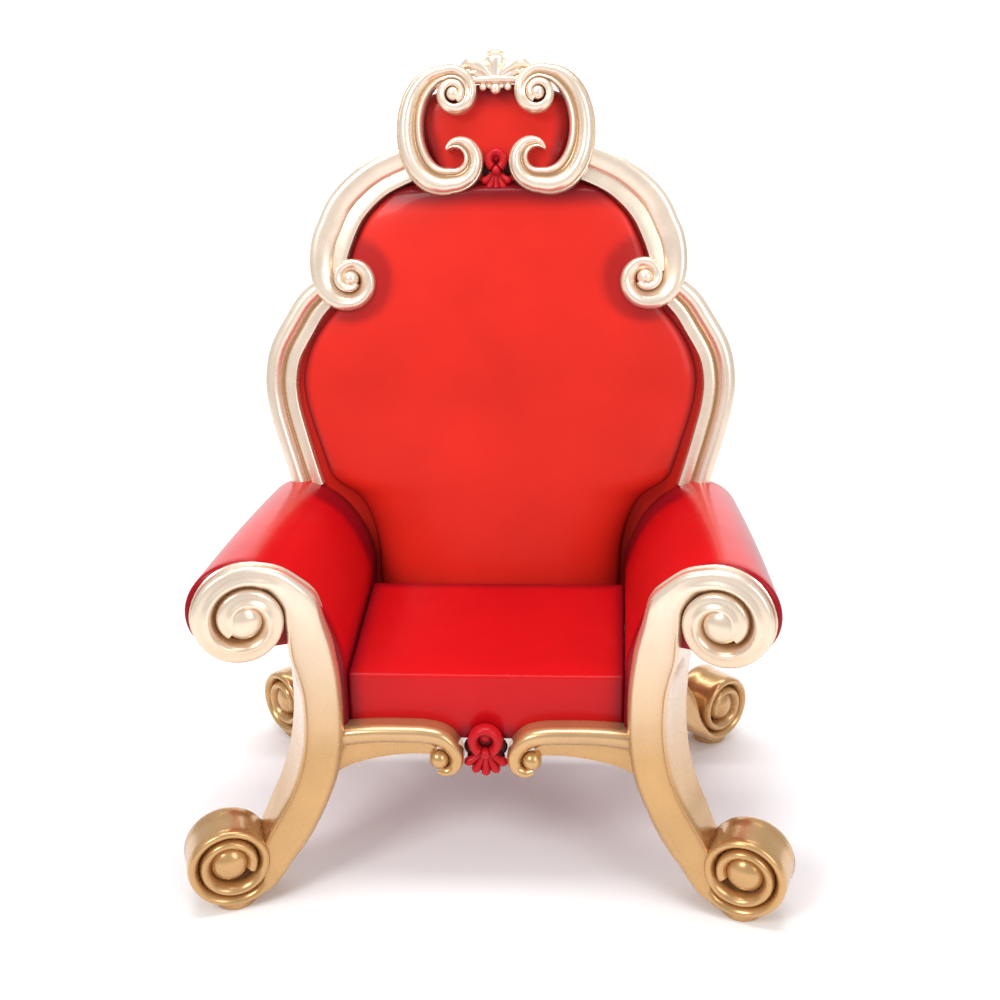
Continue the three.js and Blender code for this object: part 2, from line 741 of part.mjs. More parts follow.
const crestRoom = [ crestScroll( GAP ), mirrored( crestScroll( GAP ) ) ];
const apronRoom = [ apronMouldings( GAP ), mirrored( apronMouldings( GAP ) ) ];
const crestShell = cut( rosette( backFace, CREST_ROSETTE, LAYER.crest ), ...crestRoom );
const apronShell = cut( rosette( apronFace, APRON_ROSETTE, GAP ), ...apronRoom );
throne.add( mesh( 'crest_finial', cut( finial(), ...crestRoom ), 'gold' ) );
throne.add( mesh( 'crest_rosette', crestShell, 'crimson' ) );
throne.add( mesh( 'apron_rosette', apronShell, 'crimson' ) );

// The origin moves from the seat's front edge to the middle of the footprint.
const size = new THREE.Box3().setFromObject( throne );
throne.position.y = - ( size.min.y + size.max.y ) / 2;

export default throne;
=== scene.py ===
"""A scrolled throne, built as a Blender add-on and run as a script.

A glossy moulded chair: scarlet back, deep red seat and rolled arms, champagne-gold scrolls.
Lengths in the tables below are millimetres; the scene is in metres, +Z up, facing -Y.
"""
import math

import bmesh
import bpy
from mathutils import Matrix, Vector


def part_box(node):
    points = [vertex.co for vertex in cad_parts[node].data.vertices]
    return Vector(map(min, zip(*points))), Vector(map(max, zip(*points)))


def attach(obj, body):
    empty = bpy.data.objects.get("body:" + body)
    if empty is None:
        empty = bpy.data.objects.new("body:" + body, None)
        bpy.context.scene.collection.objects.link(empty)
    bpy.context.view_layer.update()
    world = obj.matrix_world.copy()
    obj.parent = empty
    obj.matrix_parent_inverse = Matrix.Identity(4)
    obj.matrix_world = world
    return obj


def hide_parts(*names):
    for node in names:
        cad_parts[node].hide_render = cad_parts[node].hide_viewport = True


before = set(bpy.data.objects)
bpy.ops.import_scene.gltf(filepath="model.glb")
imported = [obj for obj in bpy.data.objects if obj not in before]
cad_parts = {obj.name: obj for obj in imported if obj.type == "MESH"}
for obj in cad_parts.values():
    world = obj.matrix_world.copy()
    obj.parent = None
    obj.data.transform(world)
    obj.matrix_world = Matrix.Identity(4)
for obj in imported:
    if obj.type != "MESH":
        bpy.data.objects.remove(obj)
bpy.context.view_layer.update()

bl_info = {
    "name": "Scrolled throne",
    "version": (1, 0, 0),
    "blender": (4, 5, 0),
    "location": "3D View > Sidebar > Throne",
    "description": "Builds a glossy moulded throne with gold scrolls over its solid frame",
    "category": "Add Mesh",
}

MM = 0.001
TURN = 2 * math.pi
SEAT_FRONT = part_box("seat")[0].y / MM
SEAT_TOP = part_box("seat")[1].z / MM


# ---- sizes and finishes that a user may change ---------------------------------------------


class ThroneMouldingSizes(bpy.types.PropertyGroup):
    """How finely the gold mouldings are worked."""

    steps_per_turn: bpy.props.IntProperty(
        name="Steps per turn", description="Stations in one turn of a volute", default=44, min=12)
    profile_points: bpy.props.IntProperty(
        name="Profile points", description="Points across the front of a moulding", default=30, min=8)
    turn_fill: bpy.props.FloatProperty(
        name="Turn fill", description="Share of a volute's pitch that its moulding fills", default=1.0,
        subtype="FACTOR")


class ThroneLegSizes(bpy.types.PropertyGroup):
    """Eyes of the legs' volutes and the pads under the feet."""

    arm_eye: bpy.props.FloatProperty(
        name="Arm eye", description="Radius of the domed eye in the arm volute", default=0.038, unit="LENGTH")
    foot_eye: bpy.props.FloatProperty(
        name="Foot eye", description="Radius of the domed eye in a foot volute", default=0.041, unit="LENGTH")
    pad_radius: bpy.props.FloatProperty(
        name="Pad radius", description="Radius of the pad under a foot", default=0.044, unit="LENGTH")


class ThroneShellSizes(bpy.types.PropertyGroup):
    """Edges of the hard red shells."""

    seat_edge: bpy.props.FloatProperty(
        name="Seat edge", description="Radius along the seat's upper edges", default=0.007, unit="LENGTH")
    arm_end: bpy.props.FloatProperty(
        name="Arm end", description="Radius of the arm roll's front rim", default=0.016, unit="LENGTH")
    slab_edge: bpy.props.FloatProperty(
        name="Slab edge", description="Radius along the rear slab's edges", default=0.012, unit="LENGTH")


class ThroneFinishes(bpy.types.PropertyGroup):
    """Paint and gelcoat colours, with the colours of painted shade and of a painted floor reflection, as sRGB
    hex values.
    """

    gold_light: bpy.props.StringProperty(
        name="Gold", description="Champagne gold on the ridges", default="#F9E6D0")
    # painted shade: the olive gold that darkens the grooves, side walls and rears of the mouldings
    gold_groove_shade: bpy.props.StringProperty(
        name="Gold glaze", description="Olive gold in the grooves", default="#B98A55")
    # painted reflection: the copper gold near the floor stands in for a warm floor reflected in the gold
    gold_floor_reflection: bpy.props.StringProperty(
        name="Low gold", description="Copper gold near the floor", default="#CFA26A")
    back_red: bpy.props.StringProperty(
        name="Back red", description="Scarlet of the back", default="#D8281C")
    # painted shade: the dark red mixed into the back's field along its edges, round the volutes and under the
    # crest
    back_edge_shade: bpy.props.StringProperty(
        name="Back shade", description="Painted shade along the edges of the back", default="#4E0716")
    arm_red: bpy.props.StringProperty(
        name="Arm red", description="Red of the seat and arms", default="#CC0F16")
    # painted shade: the dark red mixed into the corners of the seat and arms
    arm_corner_shade: bpy.props.StringProperty(
        name="Arm shade", description="Painted shade in the corners of the seat and arms", default="#43061A")
    crimson: bpy.props.StringProperty(
        name="Crimson", description="Crimson of the rosettes", default="#C01820")
    # painted shade: the dark crimson in the hollow, on the ribs' rears and on the backing of the rosettes
    crimson_rib_shade: bpy.props.StringProperty(
        name="Crimson shade", description="Painted shade between the ribs of the rosettes", default="#3E0206")


class ThroneStageSizes(bpy.types.PropertyGroup):
    """The camera around the throne."""

    lens: bpy.props.FloatProperty(
        name="Lens", description="Camera focal length in mm", default=40.85, unit="CAMERA")
    camera_side: bpy.props.FloatProperty(
        name="Camera side", description="Distance right of the middle", default=0.159, unit="LENGTH")
    camera_ahead: bpy.props.FloatProperty(
        name="Camera ahead", description="Distance in front of the seat's edge", default=2.178, unit="LENGTH")
    camera_height: bpy.props.FloatProperty(
        name="Camera height", description="Height above the floor", default=1.604, unit="LENGTH")
    camera_pan: bpy.props.FloatProperty(
        name="Camera pan", description="Turn towards the left", default=math.radians(3.2), subtype="ANGLE")
    camera_tilt: bpy.props.FloatProperty(
        name="Camera tilt", description="Tilt below the horizon", default=math.radians(18.03),
        subtype="ANGLE")
    camera_roll: bpy.props.FloatProperty(
        name="Camera roll", description="Roll about the view", default=math.radians(0.8), subtype="ANGLE")


# ---- working faces -------------------------------------------------------------------------


class Face:
    """A flat working plane; a point on it is (across, height, out) in millimetres."""

    def __init__(self, origin, across, up, out):
        self.origin = Vector(origin)
        self.across = Vector(across)
        self.up = Vector(up)
        self.out = Vector(out)

    def at(self, a, b, c):
        return (self.origin + self.across * a + self.up * b + self.out * c) * MM

    def ball(self, a, b, c, size):
        """Matrix that sets a unit ball at the point, stretched by size = (across, height, out)."""
        axes = [axis.normalized() * reach for axis, reach in zip((self.across, self.up, self.out), size)]
        turn = Matrix(axes).transposed() * MM
        return Matrix.Translation(self.at(a, b, c)) @ turn.to_4x4()


LEAN = math.radians(6)  # of the back, away from the seat
LEG_TURN = math.radians(20)  # of the front legs, towards the sides
REAR_TURN = math.radians(42)  # of the rear legs, towards the rear corners
BACK_BEHIND = 585  # from the seat's front to the back's working face, at seat height
BACK_FOOT = SEAT_FRONT + BACK_BEHIND - SEAT_TOP * math.tan(LEAN)
LEG_START = (340, SEAT_FRONT - 75, 0)
REAR_START = (405, SEAT_FRONT + 490, 0)

back_face = Face((0, BACK_FOOT, 0), (1, 0, 0), (0, math.tan(LEAN), 1), (0, -math.cos(LEAN), math.sin(LEAN)))
leg_face = Face(
    LEG_START, (math.cos(LEG_TURN), -math.sin(LEG_TURN), 0), (0, 0, 1),
    (-math.sin(LEG_TURN), -math.cos(LEG_TURN), 0))
rear_face = Face(
    REAR_START, (math.cos(REAR_TURN), math.sin(REAR_TURN), 0), (0, 0, 1),
    (math.sin(REAR_TURN), -math.cos(REAR_TURN), 0))
apron_face = Face((0, SEAT_FRONT, 0), (1, 0, 0), (0, 0, 1), (0, -1, 0))


# ---- curves --------------------------------------------------------------------------------


def blend(a, b, t):
    return a + (b - a) * t


def ease(value, low, high):
    """0 below low, 1 above high and smooth between."""
    t = min(max((value - low) / (high - low), 0.0), 1.0)
    return t * t * (3 - 2 * t)


def through(points, count):
    """count + 1 samples of a smooth curve through the points, evenly shared among its spans."""
    inner = [Vector(p) for p in points]
    pts = [inner[0] * 2 - inner[1], *inner, inner[-1] * 2 - inner[-2]]
    knots = [0.0]
    for a, b in zip(pts, pts[1:]):
        knots.append(knots[-1] + max((b - a).length, 1e-6) ** 0.5)
    spans = len(inner) - 1
    samples = []
    for i in range(count + 1):
        place = i / count * spans
        k = min(int(place), spans - 1)
        p, s = pts[k:k + 4], knots[k:k + 4]
        t = blend(s[1], s[2], place - k)
        first = [blend(p[j], p[j + 1], (t - s[j]) / (s[j + 1] - s[j])) for j in range(3)]
        second = [blend(first[j], first[j + 1], (t - s[j]) / (s[j + 2] - s[j])) for j in range(2)]
        samples.append(blend(second[0], second[1], (t - s[1]) / (s[2] - s[1])))
    return samples


def spiral(volute, fine, fill):
    """Stations (x, z, width) of a volute from its mouth inwards.

    Each whole turn leaves a share `shrink` of the radius, less `pitch`.
    """
    count = round(volute["turns"] * fine)
    shrink, pitch = volute.get("shrink", 1), volute.get("pitch", 0)
    stations = []
    for i in range(count + 1):
        turned = i / fine
        outer = volute["radius"] * shrink ** turned - pitch * turned
        width = (volute["radius"] * shrink ** turned * (1 - shrink) + pitch) * fill
        middle = outer - width / 2
        angle = math.radians(volute["start"]) + volute["hand"] * turned * TURN
        x = volute["x"] + middle * math.cos(angle)
        z = volute["z"] + middle * math.sin(angle)
        stations.append(Vector((x, z, width)))
    return stations


def bridge(before, after, pull, bulge, count):
    """Smooth stretch between two runs of stations; bulge widens its left-hand side."""
    start, end = before[-1].xy, after[0].xy
    leaving = (start - before[-2].xy).normalized() * pull[0]
    arriving = (after[1].xy - end).normalized() * pull[1]
    a, b, c, d = start, start + leaving, end - arriving, end
    stations = []
    for i in range(1, count):
        t = i / count
        spot = a * (1 - t) ** 3 + b * 3 * t * (1 - t) ** 2 + c * 3 * t * t * (1 - t) + d * t ** 3
        heading = ((b - a) * (1 - t) ** 2 + (c - b) * 2 * t * (1 - t) + (d - c) * t * t).normalized()
        extra = bulge * (1 - (2 * t - 1) ** 4)
        spot = spot + Vector((-heading.y, heading.x)) * extra / 2
        stations.append(Vector((spot.x, spot.y, blend(before[-1].z, after[0].z, t) + extra)))
    return stations


def headings(stations):
    """Unit direction of travel at each station."""
    ahead = [*stations[1:], stations[-1]]
    behind = [stations[0], *stations[:-1]]
    return [(a.xy - b.xy).normalized() for a, b in zip(ahead, behind)]


# ---- mesh work -----------------------------------------------------------------------------


WELD = 2e-6  # metres: points closer than this are one


def painted_shade_layer(bm):
    """The vertex value, 0 none to 1 full painted shade, that the paints read."""
    return bm.verts.layers.float.get("painted_shade") or bm.verts.layers.float.new("painted_shade")


def edges_of(verts):
    """The edges that meet the vertices, each once and always in the same order."""
    return list(dict.fromkeys(e for v in verts for e in v.link_edges))


def skin(bm, rings):
    """Skins rings of (place, painted shade) into one closed tube with filled ends."""
    around, rows = len(rings[0]), len(rings)
    shade = painted_shade_layer(bm)
    made = bmesh.ops.create_grid(bm, x_segments=around, y_segments=rows - 1, size=0.5)["verts"]
    for v in made:
        u = round((v.co.x + 0.5) * around)
        w = round((v.co.y + 0.5) * (rows - 1))
        v.co, v[shade] = rings[w][u % around]
    bmesh.ops.remove_doubles(bm, verts=made, dist=WELD)
    bmesh.ops.holes_fill(bm, edges=[e for e in bm.edges if e.is_boundary], sides=0)


def ball(bm, face, spot, size, painted_shade=0.0, fine=28):
    """A domed eye or bead; size is its half-extent across, up and out."""
    shade = painted_shade_layer(bm)
    made = bmesh.ops.create_uvsphere(
        bm, u_segments=fine, v_segments=fine // 2, radius=1, matrix=face.ball(*spot, size))["verts"]
    for v in made:
        v[shade] = painted_shade


WALL_PAINTED_SHADE = 0.12  # painted shade on a moulding's side walls
REAR_PAINTED_SHADE = 0.4  # painted shade on a moulding's rear
WALL_STEPS = (0.08, 0.25, 0.5, 0.75, 0.9)  # shares of a side wall from its front to its rear
REAR_STEPS = (-0.5, -0.25, 0.25, 0.5)  # shares of the width, across the rear


def swell(step, lip, width):
    """Reach of the lip round a foot's barrel, near the rear of its wall, as a share of the width."""
    return lip / width if step > 0.8 else 0.0


def moulding(bm, face, stations, profile, back, front, lip=0.0):
    """Sweeps a profile of (across, drop, painted shade) along stations; back and front give levels."""
    rings = []
    for i, (station, heading) in enumerate(zip(stations, headings(stations))):
        x, z, width = station
        rear = back(i)
        fore = front(i)
        shape = profile(i)

        def place(across, out, painted_shade):
            return face.at(x - heading.y * across * width, z + heading.x * across * width, out), painted_shade

        left = fore - shape[0][1] * width
        right = fore - shape[-1][1] * width
        ring = [place(across, fore - drop * width, painted_shade) for across, drop, painted_shade in shape]
        for step in WALL_STEPS:
            ring.append(place(-0.5 - swell(step, lip, width), blend(right, rear, step), WALL_PAINTED_SHADE))
        ring += [place(across, rear, REAR_PAINTED_SHADE) for across in REAR_STEPS]
        for step in reversed(WALL_STEPS):
            ring.append(place(0.5, blend(left, rear, step), WALL_PAINTED_SHADE))
        rings.append(ring)
    skin(bm, rings)


def fit(bm, node):
    """Brings the finished piece exactly to its solid's box."""
    low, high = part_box(node)
    now_low = Vector(min(v.co[k] for v in bm.verts) for k in range(3))
    now_high = Vector(max(v.co[k] for v in bm.verts) for k in range(3))
    for v in bm.verts:
        share = [(v.co[k] - now_low[k]) / (now_high[k] - now_low[k]) for k in range(3)]
        v.co = Vector(blend(low[k], high[k], share[k]) for k in range(3))


SHARP = math.radians(38)  # an edge that folds more than this keeps its crease


def finish(bm, node, material):
    """Turns the worked mesh into the named piece that stands for its solid."""
    fit(bm, node)
    bmesh.ops.recalc_face_normals(bm, faces=bm.faces)
    for edge in bm.edges:
        edge.smooth = not edge.is_manifold or edge.calc_face_angle(0) < SHARP
    for f in bm.faces:
        f.smooth = True
    mesh = bpy.data.meshes.new(node + "_skin")
    bm.to_mesh(mesh)
    bm.free()
    mesh.materials.append(material)
    piece = bpy.data.objects.new(node + "_skin", mesh)
    bpy.context.scene.collection.objects.link(piece)
    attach(piece, "root")
    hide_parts(node)


def pair(build, name, material):
    """Builds the right-hand piece and its mirrored twin."""
    for side in ("right", "left"):
        bm = bmesh.new()
        build(bm)
        if side == "left":
            bmesh.ops.scale(bm, vec=(-1, 1, 1), verts=bm.verts)
        finish(bm, f"{side}_{name}", material)


# ---- shader nodes --------------------------------------------------------------------------


def linear(hex_colour):
    """An sRGB hex colour as the linear colour the shader wants."""
    channels = [int(hex_colour[i:i + 2], 16) / 255 for i in (1, 3, 5)]
    return [c / 12.92 if c <= 0.04045 else ((c + 0.055) / 1.055) ** 2.4 for c in channels] + [1.0]


def node(tree, kind, values=None, **settings):
    """Adds one shader node, with its settings and its input values or links."""
    made = tree.nodes.new(kind)
    for key, value in settings.items():
        setattr(made, key, value)
    for key, value in (values or {}).items():
        if isinstance(value, bpy.types.NodeSocket):
            tree.links.new(value, made.inputs[key])
        else:
            made.inputs[key].default_value = value
    return made


def surface(name):
    """A fresh material with its node tree and Principled shader."""
    material = bpy.data.materials.new(name)
    material.use_nodes = True
    tree = material.node_tree
    return material, tree, tree.nodes["Principled BSDF"]


FACTOR, FIRST, SECOND, BLENDED = 0, 6, 7, 2  # the mix node's colour sockets; BLENDED is its output
GOLD_CLOUD = 111.1  # mm between brighter and duller patches of the paint
GOLD_FLECK = 40  # mm between rougher and smoother patches of the paint
SHELL_CLOUD = 250  # mm between lighter and deeper patches of the gelcoat
SHELL_WAVE = 71.4  # mm between swells of the moulded shell
RIPPLE_HEIGHT = 0.003  # metres
GOLD_FLOOR_REFLECTION = {"pale_above": 0.74, "low_below": 0.34}  # metres above the floor; below, a painted reflection of a warm floor deepens the gold


def gold_paint(finishes):
    """Champagne metallic paint over moulded glass fibre, with painted shade in the grooves.

    The eye gets a pale, soft sheen on the ridges, painted shade in the grooves, and a deeper gold
    near the floor, which is a painted reflection of a warm floor.
    """
    material, tree, shader = surface("champagne_gold_paint")
    place = node(tree, "ShaderNodeTexCoord").outputs["Object"]
    painted_shade = node(tree, "ShaderNodeAttribute", attribute_name="painted_shade").outputs["Fac"]
    clouds = node(tree, "ShaderNodeTexNoise", {
        "Vector": place, "Scale": 1 / (GOLD_CLOUD * MM), "Detail": 2.0, "Roughness": 0.45}).outputs["Fac"]
    flecks = node(tree, "ShaderNodeTexNoise", {
        "Vector": place, "Scale": 1 / (GOLD_FLECK * MM), "Detail": 1.0}).outputs["Fac"]
    # painted reflection: below the pale height the gold turns to the low colour, as a warm floor's reflection
    # would
    height = node(tree, "ShaderNodeSeparateXYZ", {"Vector": place}).outputs["Z"]
    low = node(tree, "ShaderNodeMapRange", {
        "Value": height, "From Min": GOLD_FLOOR_REFLECTION["pale_above"], "From Max": GOLD_FLOOR_REFLECTION["low_below"]})
    tone = node(tree, "ShaderNodeMix", {
        FACTOR: low.outputs["Result"], FIRST: linear(finishes.gold_light), SECOND: linear(finishes.gold_floor_reflection),
    }, data_type="RGBA")
    worn = node(tree, "ShaderNodeMapRange", {
        "Value": clouds, "From Min": 0.35, "From Max": 0.65, "To Min": 0.9, "To Max": 1.0})
    paint = node(tree, "ShaderNodeMix", {
        FACTOR: 1.0, FIRST: tone.outputs[BLENDED], SECOND: worn.outputs["Result"],
    }, data_type="RGBA", blend_type="MULTIPLY")
    # painted shade: the vertex value mixes the groove colour into the paint
    painted_shade_mix = node(tree, "ShaderNodeMix", {
        FACTOR: painted_shade, FIRST: paint.outputs[BLENDED], SECOND: linear(finishes.gold_groove_shade),
    }, data_type="RGBA")
    tree.links.new(painted_shade_mix.outputs[BLENDED], shader.inputs["Base Color"])
    rough = node(tree, "ShaderNodeMapRange", {
        "Value": flecks, "From Min": 0.3, "From Max": 0.7, "To Min": 0.25, "To Max": 0.3})
    tree.links.new(rough.outputs["Result"], shader.inputs["Roughness"])
    shader.inputs["Metallic"].default_value = 0.7
    shader.inputs["Coat Weight"].default_value = 0.5
    shader.inputs["Coat Roughness"].default_value = 0.08
    ripple = node(tree, "ShaderNodeBump", {"Height": clouds, "Strength": 0.12, "Distance": RIPPLE_HEIGHT})
    tree.links.new(ripple.outputs["Normal"], shader.inputs["Normal"])
    return material


def red_gelcoat(name, colour, depth, waviness):
    """Glossy pigmented gelcoat, as a polyester shell has straight from its mould.

    The eye gets an even, hard red with soft reflections that bend a little, and painted shade in
    the corners.
    """
    material, tree, shader = surface(name)
    place = node(tree, "ShaderNodeTexCoord").outputs["Object"]
    painted_shade = node(tree, "ShaderNodeAttribute", attribute_name="painted_shade").outputs["Fac"]
    clouds = node(tree, "ShaderNodeTexNoise", {
        "Vector": place, "Scale": 1 / (SHELL_CLOUD * MM), "Detail": 3.0, "Roughness": 0.5}).outputs["Fac"]
    waves = node(tree, "ShaderNodeTexNoise", {
        "Vector": place, "Scale": 1 / (SHELL_WAVE * MM), "Detail": 2.0}).outputs["Fac"]
    shade = node(tree, "ShaderNodeMapRange", {
        "Value": clouds, "From Min": 0.3, "From Max": 0.7, "To Min": 0.86, "To Max": 1.0})
    coat = node(tree, "ShaderNodeMix", {
        FACTOR: 1.0, FIRST: linear(colour), SECOND: shade.outputs["Result"],
    }, data_type="RGBA", blend_type="MULTIPLY")
    # painted shade: the depth colour mixed in by the vertex value
    painted_shade_mix = node(tree, "ShaderNodeMix", {
        FACTOR: painted_shade, FIRST: coat.outputs[BLENDED], SECOND: linear(depth),
    }, data_type="RGBA")
    tree.links.new(painted_shade_mix.outputs[BLENDED], shader.inputs["Base Color"])
    shader.inputs["Roughness"].default_value = 0.3
    shader.inputs["IOR"].default_value = 1.46
    shader.inputs["Specular IOR Level"].default_value = 0.18
    shader.inputs["Coat Weight"].default_value = 0.08
    shader.inputs["Coat Roughness"].default_value = 0.06
    ripple = node(tree, "ShaderNodeBump", {"Height": waves, "Strength": waviness, "Distance": RIPPLE_HEIGHT})
    tree.links.new(ripple.outputs["Normal"], shader.inputs["Normal"])
    tree.links.new(ripple.outputs["Normal"], shader.inputs["Coat Normal"])
    return material


WAVINESS = {"back": 0.12, "arm": 0.3, "crimson": 0.1}
FINISH_NAMES = {
    "gold": "champagne_gold_paint", "back": "scarlet_gelcoat", "arm": "deep_red_gelcoat",
    "crimson": "rosette_gelcoat",
}


def finish_of(kind):
    """The shared material of a finish, made when it is first asked for."""
    name = FINISH_NAMES[kind]
    if name in bpy.data.materials:
        return bpy.data.materials[name]
    finishes = bpy.context.scene.throne_finishes
    if kind == "gold":
        return gold_paint(finishes)
    colours = {
        "back": (finishes.back_red, finishes.back_edge_shade), "arm": (finishes.arm_red, finishes.arm_corner_shade),
        "crimson": (finishes.crimson, finishes.crimson_rib_shade),
    }
    return red_gelcoat(name, *colours[kind], WAVINESS[kind])


# ---- profiles: (across, drop, painted shade) from the left of travel to the right, in shares of width --

BAND = [
    (0.5, 0.22, 0.3), (0.485, 0.14, 0.1), (0.455, 0.1, 0), (0.42, 0.12, 0.15), (0.37, 0.145, 0.2),
    (0.25, 0.13, 0.05), (0.05, 0.09, 0), (-0.1, 0.05, 0), (-0.2, 0.01, 0), (-0.27, 0.0, 0),
    (-0.35, 0.035, 0), (-0.42, 0.1, 0.05), (-0.465, 0.18, 0.1), (-0.49, 0.28, 0.15), (-0.5, 0.38, 0.2),
]
COIL = [
    (0.5, 0.5, 1.0), (0.44, 0.44, 0.9), (0.34, 0.26, 0.55), (0.24, 0.1, 0.15), (0.15, 0.01, 0),
    (0.08, 0.0, 0), (-0.02, 0.05, 0), (-0.14, 0.1, 0.1), (-0.28, 0.12, 0.05), (-0.4, 0.16, 0),
    (-0.46, 0.22, 0.05), (-0.49, 0.29, 0.1), (-0.5, 0.36, 0.2),
]
FOOT = [
    (0.5, 0.85, 0.7), (0.4, 0.6, 0.5), (0.26, 0.3, 0.25), (0.08, 0.09, 0.05), (-0.1, 0.0, 0),
    (-0.26, 0.04, 0), (-0.38, 0.17, 0), (-0.45, 0.36, 0), (-0.49, 0.54, 0.05), (-0.5, 0.68, 0.1),
]
RAIL_BAND = [
    (0.5, 0.42, 0.3), (0.49, 0.28, 0.15), (0.455, 0.15, 0.05), (0.39, 0.06, 0), (0.29, 0.01, 0),
    (0.19, 0.0, 0), (0.09, 0.04, 0), (0.01, 0.12, 0.15), (-0.05, 0.23, 0.7), (-0.09, 0.26, 0.85),
    (-0.13, 0.22, 0.4), (-0.2, 0.19, 0.08), (-0.33, 0.185, 0), (-0.44, 0.2, 0.05), (-0.48, 0.22, 0.1),
    (-0.5, 0.4, 0.3),
]
SHOULDER_BAND = [
    (0.5, 0.42, 0.3), (0.49, 0.28, 0.15), (0.44, 0.14, 0), (0.34, 0.04, 0), (0.18, 0.0, 0), (0.0, 0.03, 0),
    (-0.2, 0.1, 0), (-0.38, 0.2, 0.05), (-0.47, 0.3, 0.4), (-0.5, 0.44, 0.9),
]
CREST_BAND = [
    (0.5, 0.42, 0.4), (0.48, 0.25, 0.25), (0.44, 0.17, 0.35), (0.4, 0.18, 0.4), (0.34, 0.08, 0.05),
    (0.24, 0.015, 0), (0.13, 0.0, 0), (0.02, 0.04, 0), (-0.08, 0.13, 0.15), (-0.16, 0.23, 0.7),
    (-0.21, 0.25, 0.85), (-0.26, 0.19, 0.4), (-0.32, 0.12, 0.05), (-0.39, 0.1, 0), (-0.45, 0.17, 0.05),
    (-0.49, 0.29, 0.2), (-0.5, 0.42, 0.3),
]
SNAIL = [
    (0.5, 0.44, 0.5), (0.47, 0.28, 0.3), (0.4, 0.12, 0.05), (0.28, 0.02, 0), (0.12, 0.0, 0), (-0.06, 0.06, 0),
    (-0.22, 0.16, 0.05), (-0.36, 0.28, 0.35), (-0.45, 0.38, 0.7), (-0.5, 0.44, 0.9),
]
ROLL = [
    (0.5, 0.5, 0.4), (0.48, 0.36, 0.1), (0.4, 0.16, 0), (0.28, 0.04, 0), (0.1, 0.0, 0), (-0.12, 0.05, 0),
    (-0.3, 0.18, 0.05), (-0.42, 0.34, 0.4), (-0.5, 0.5, 0.9),
]
COVE = [
    (0.5, 0.1, 0.7), (0.42, 0.1, 0.35), (0.25, 0.07, 0.05), (0.0, 0.03, 0), (-0.25, 0.0, 0), (-0.42, 0.01, 0),
    (-0.48, 0.05, 0.05), (-0.5, 0.2, 0.3),
]


def sampled(profile):
    """The profile as a smooth line with the wanted number of points."""
    return through(profile, bpy.context.scene.throne_mouldings.profile_points)


def mirrored(profile):
    """The same profile worked from the other side."""
    return [(-across, drop, painted_shade) for across, drop, painted_shade in reversed(profile)]


def between(a, b, t):
    """A profile part of the way from a to b."""
    return [blend(p, q, t) for p, q in zip(a, b)]


POINTS = {  # stations along each stretch
    "leg": 96, "rear_leg": 56, "rail": 80, "shoulder_roll": 40, "shoulder_cove": 48, "apron_tube": 90,
    "apron_cove": 36, "field": 90, "crest_field": 40, "bar": 16, "leaf": 22, "hood": 40, "rib": 16,
}
CHANGE = {  # turns of a volute over which one profile gives way to the next
    "arm": 0.2, "foot": (-0.3, 0.1), "shoulder": 0.3, "shoulder_lift": (0.3, 1.2), "crest": (0.1, 0.6),
}


# ---- front and rear legs -------------------------------------------------------------------

ARM_VOLUTE = {"x": 140, "z": 677, "radius": 118.7, "start": 110, "turns": 1.42, "hand": -1, "pitch": 49}
FOOT_VOLUTE = {"x": 211, "z": 113, "radius": 104, "start": 235, "turns": 1.9, "hand": 1, "pitch": 26}
LEG_STRETCH = [
    (75, 754, 52), (46, 727, 60), (25, 695, 74), (17, 650, 82), (8, 590, 96), (0, 545, 92), (-6, 498, 88),
    (-7, 419, 87), (-1, 354, 89), (14, 292, 90), (38, 235, 90), (73, 173, 94), (104, 126, 84), (120, 84, 52),
    (136, 56, 36),
]
LEG_DEPTH = {"top": 38, "middle": 200, "foot": 100, "arm_reach": (105, 215), "foot_reach": (117, 400)}
COIL_RUN = 30  # stations over which the arm volute's profile gives way to the leg's
FOOT_LIP = 3.0
ARM_EYE = {"right": 1, "lower": 3, "level": -20, "out": 23}
FOOT_EYE = {"right": 5, "front_level": -26, "front_out": 29, "rear_level": 20, "rear_out": 20}
EYE_FINE = 40
PAD_AT = 208
PAD = {"height": 0.026, "edge": 0.003, "sides": 40}  # metres
REAR_VOLUTE = {"x": 222, "z": 110, "radius": 100, "start": 225, "turns": 1.9, "hand": 1, "pitch": 28}
REAR_STRETCH = [
    (-5, 455, 80), (-15, 410, 84), (-18, 360, 88), (-11, 310, 92), (5, 258, 96), (31, 206, 98), (68, 155, 94),
    (112, 100, 60),
]
REAR_DEPTH = 110
REAR_EYE = {"front_level": -26, "front_out": 28, "rear_level": 2, "rear_out": 10}


def leg_back(station):
    """Level of the leg's rear: slim behind the arm volute, deep at the seat, less at the foot."""
    away_arm = math.hypot(station.x - ARM_VOLUTE["x"], station.y - ARM_VOLUTE["z"])
    away_foot = math.hypot(station.x - FOOT_VOLUTE["x"], station.y - FOOT_VOLUTE["z"])
    below = ease(away_arm, *LEG_DEPTH["arm_reach"])
    near, far = LEG_DEPTH["foot_reach"]
    above = min(max((away_foot - near) / (far - near), 0), 1)
    upper = blend(LEG_DEPTH["top"], LEG_DEPTH["middle"], below)
    lower = blend(LEG_DEPTH["foot"], LEG_DEPTH["middle"], above)
    return -min(upper, lower)


def foot_pad(bm, spot, radius):
    """The low round pad a foot stands on."""
    made = bmesh.ops.create_cone(
        bm, cap_ends=True, segments=PAD["sides"], radius1=radius, radius2=radius, depth=PAD["height"],
        matrix=Matrix.Translation((spot.x, spot.y, PAD["height"] / 2)))["verts"]
    rims = [e for e in edges_of(made) if e.calc_face_angle(0) > SHARP]
    bmesh.ops.bevel(
        bm, geom=rims, affect="EDGES", offset=PAD["edge"], segments=3, profile=0.5, material=-1)


def foot_share(i, arrive, turn):
    """How far a station has changed from the leg's profile to the foot's."""
    low, high = CHANGE["foot"]
    return ease(i - arrive, low * turn, high * turn)


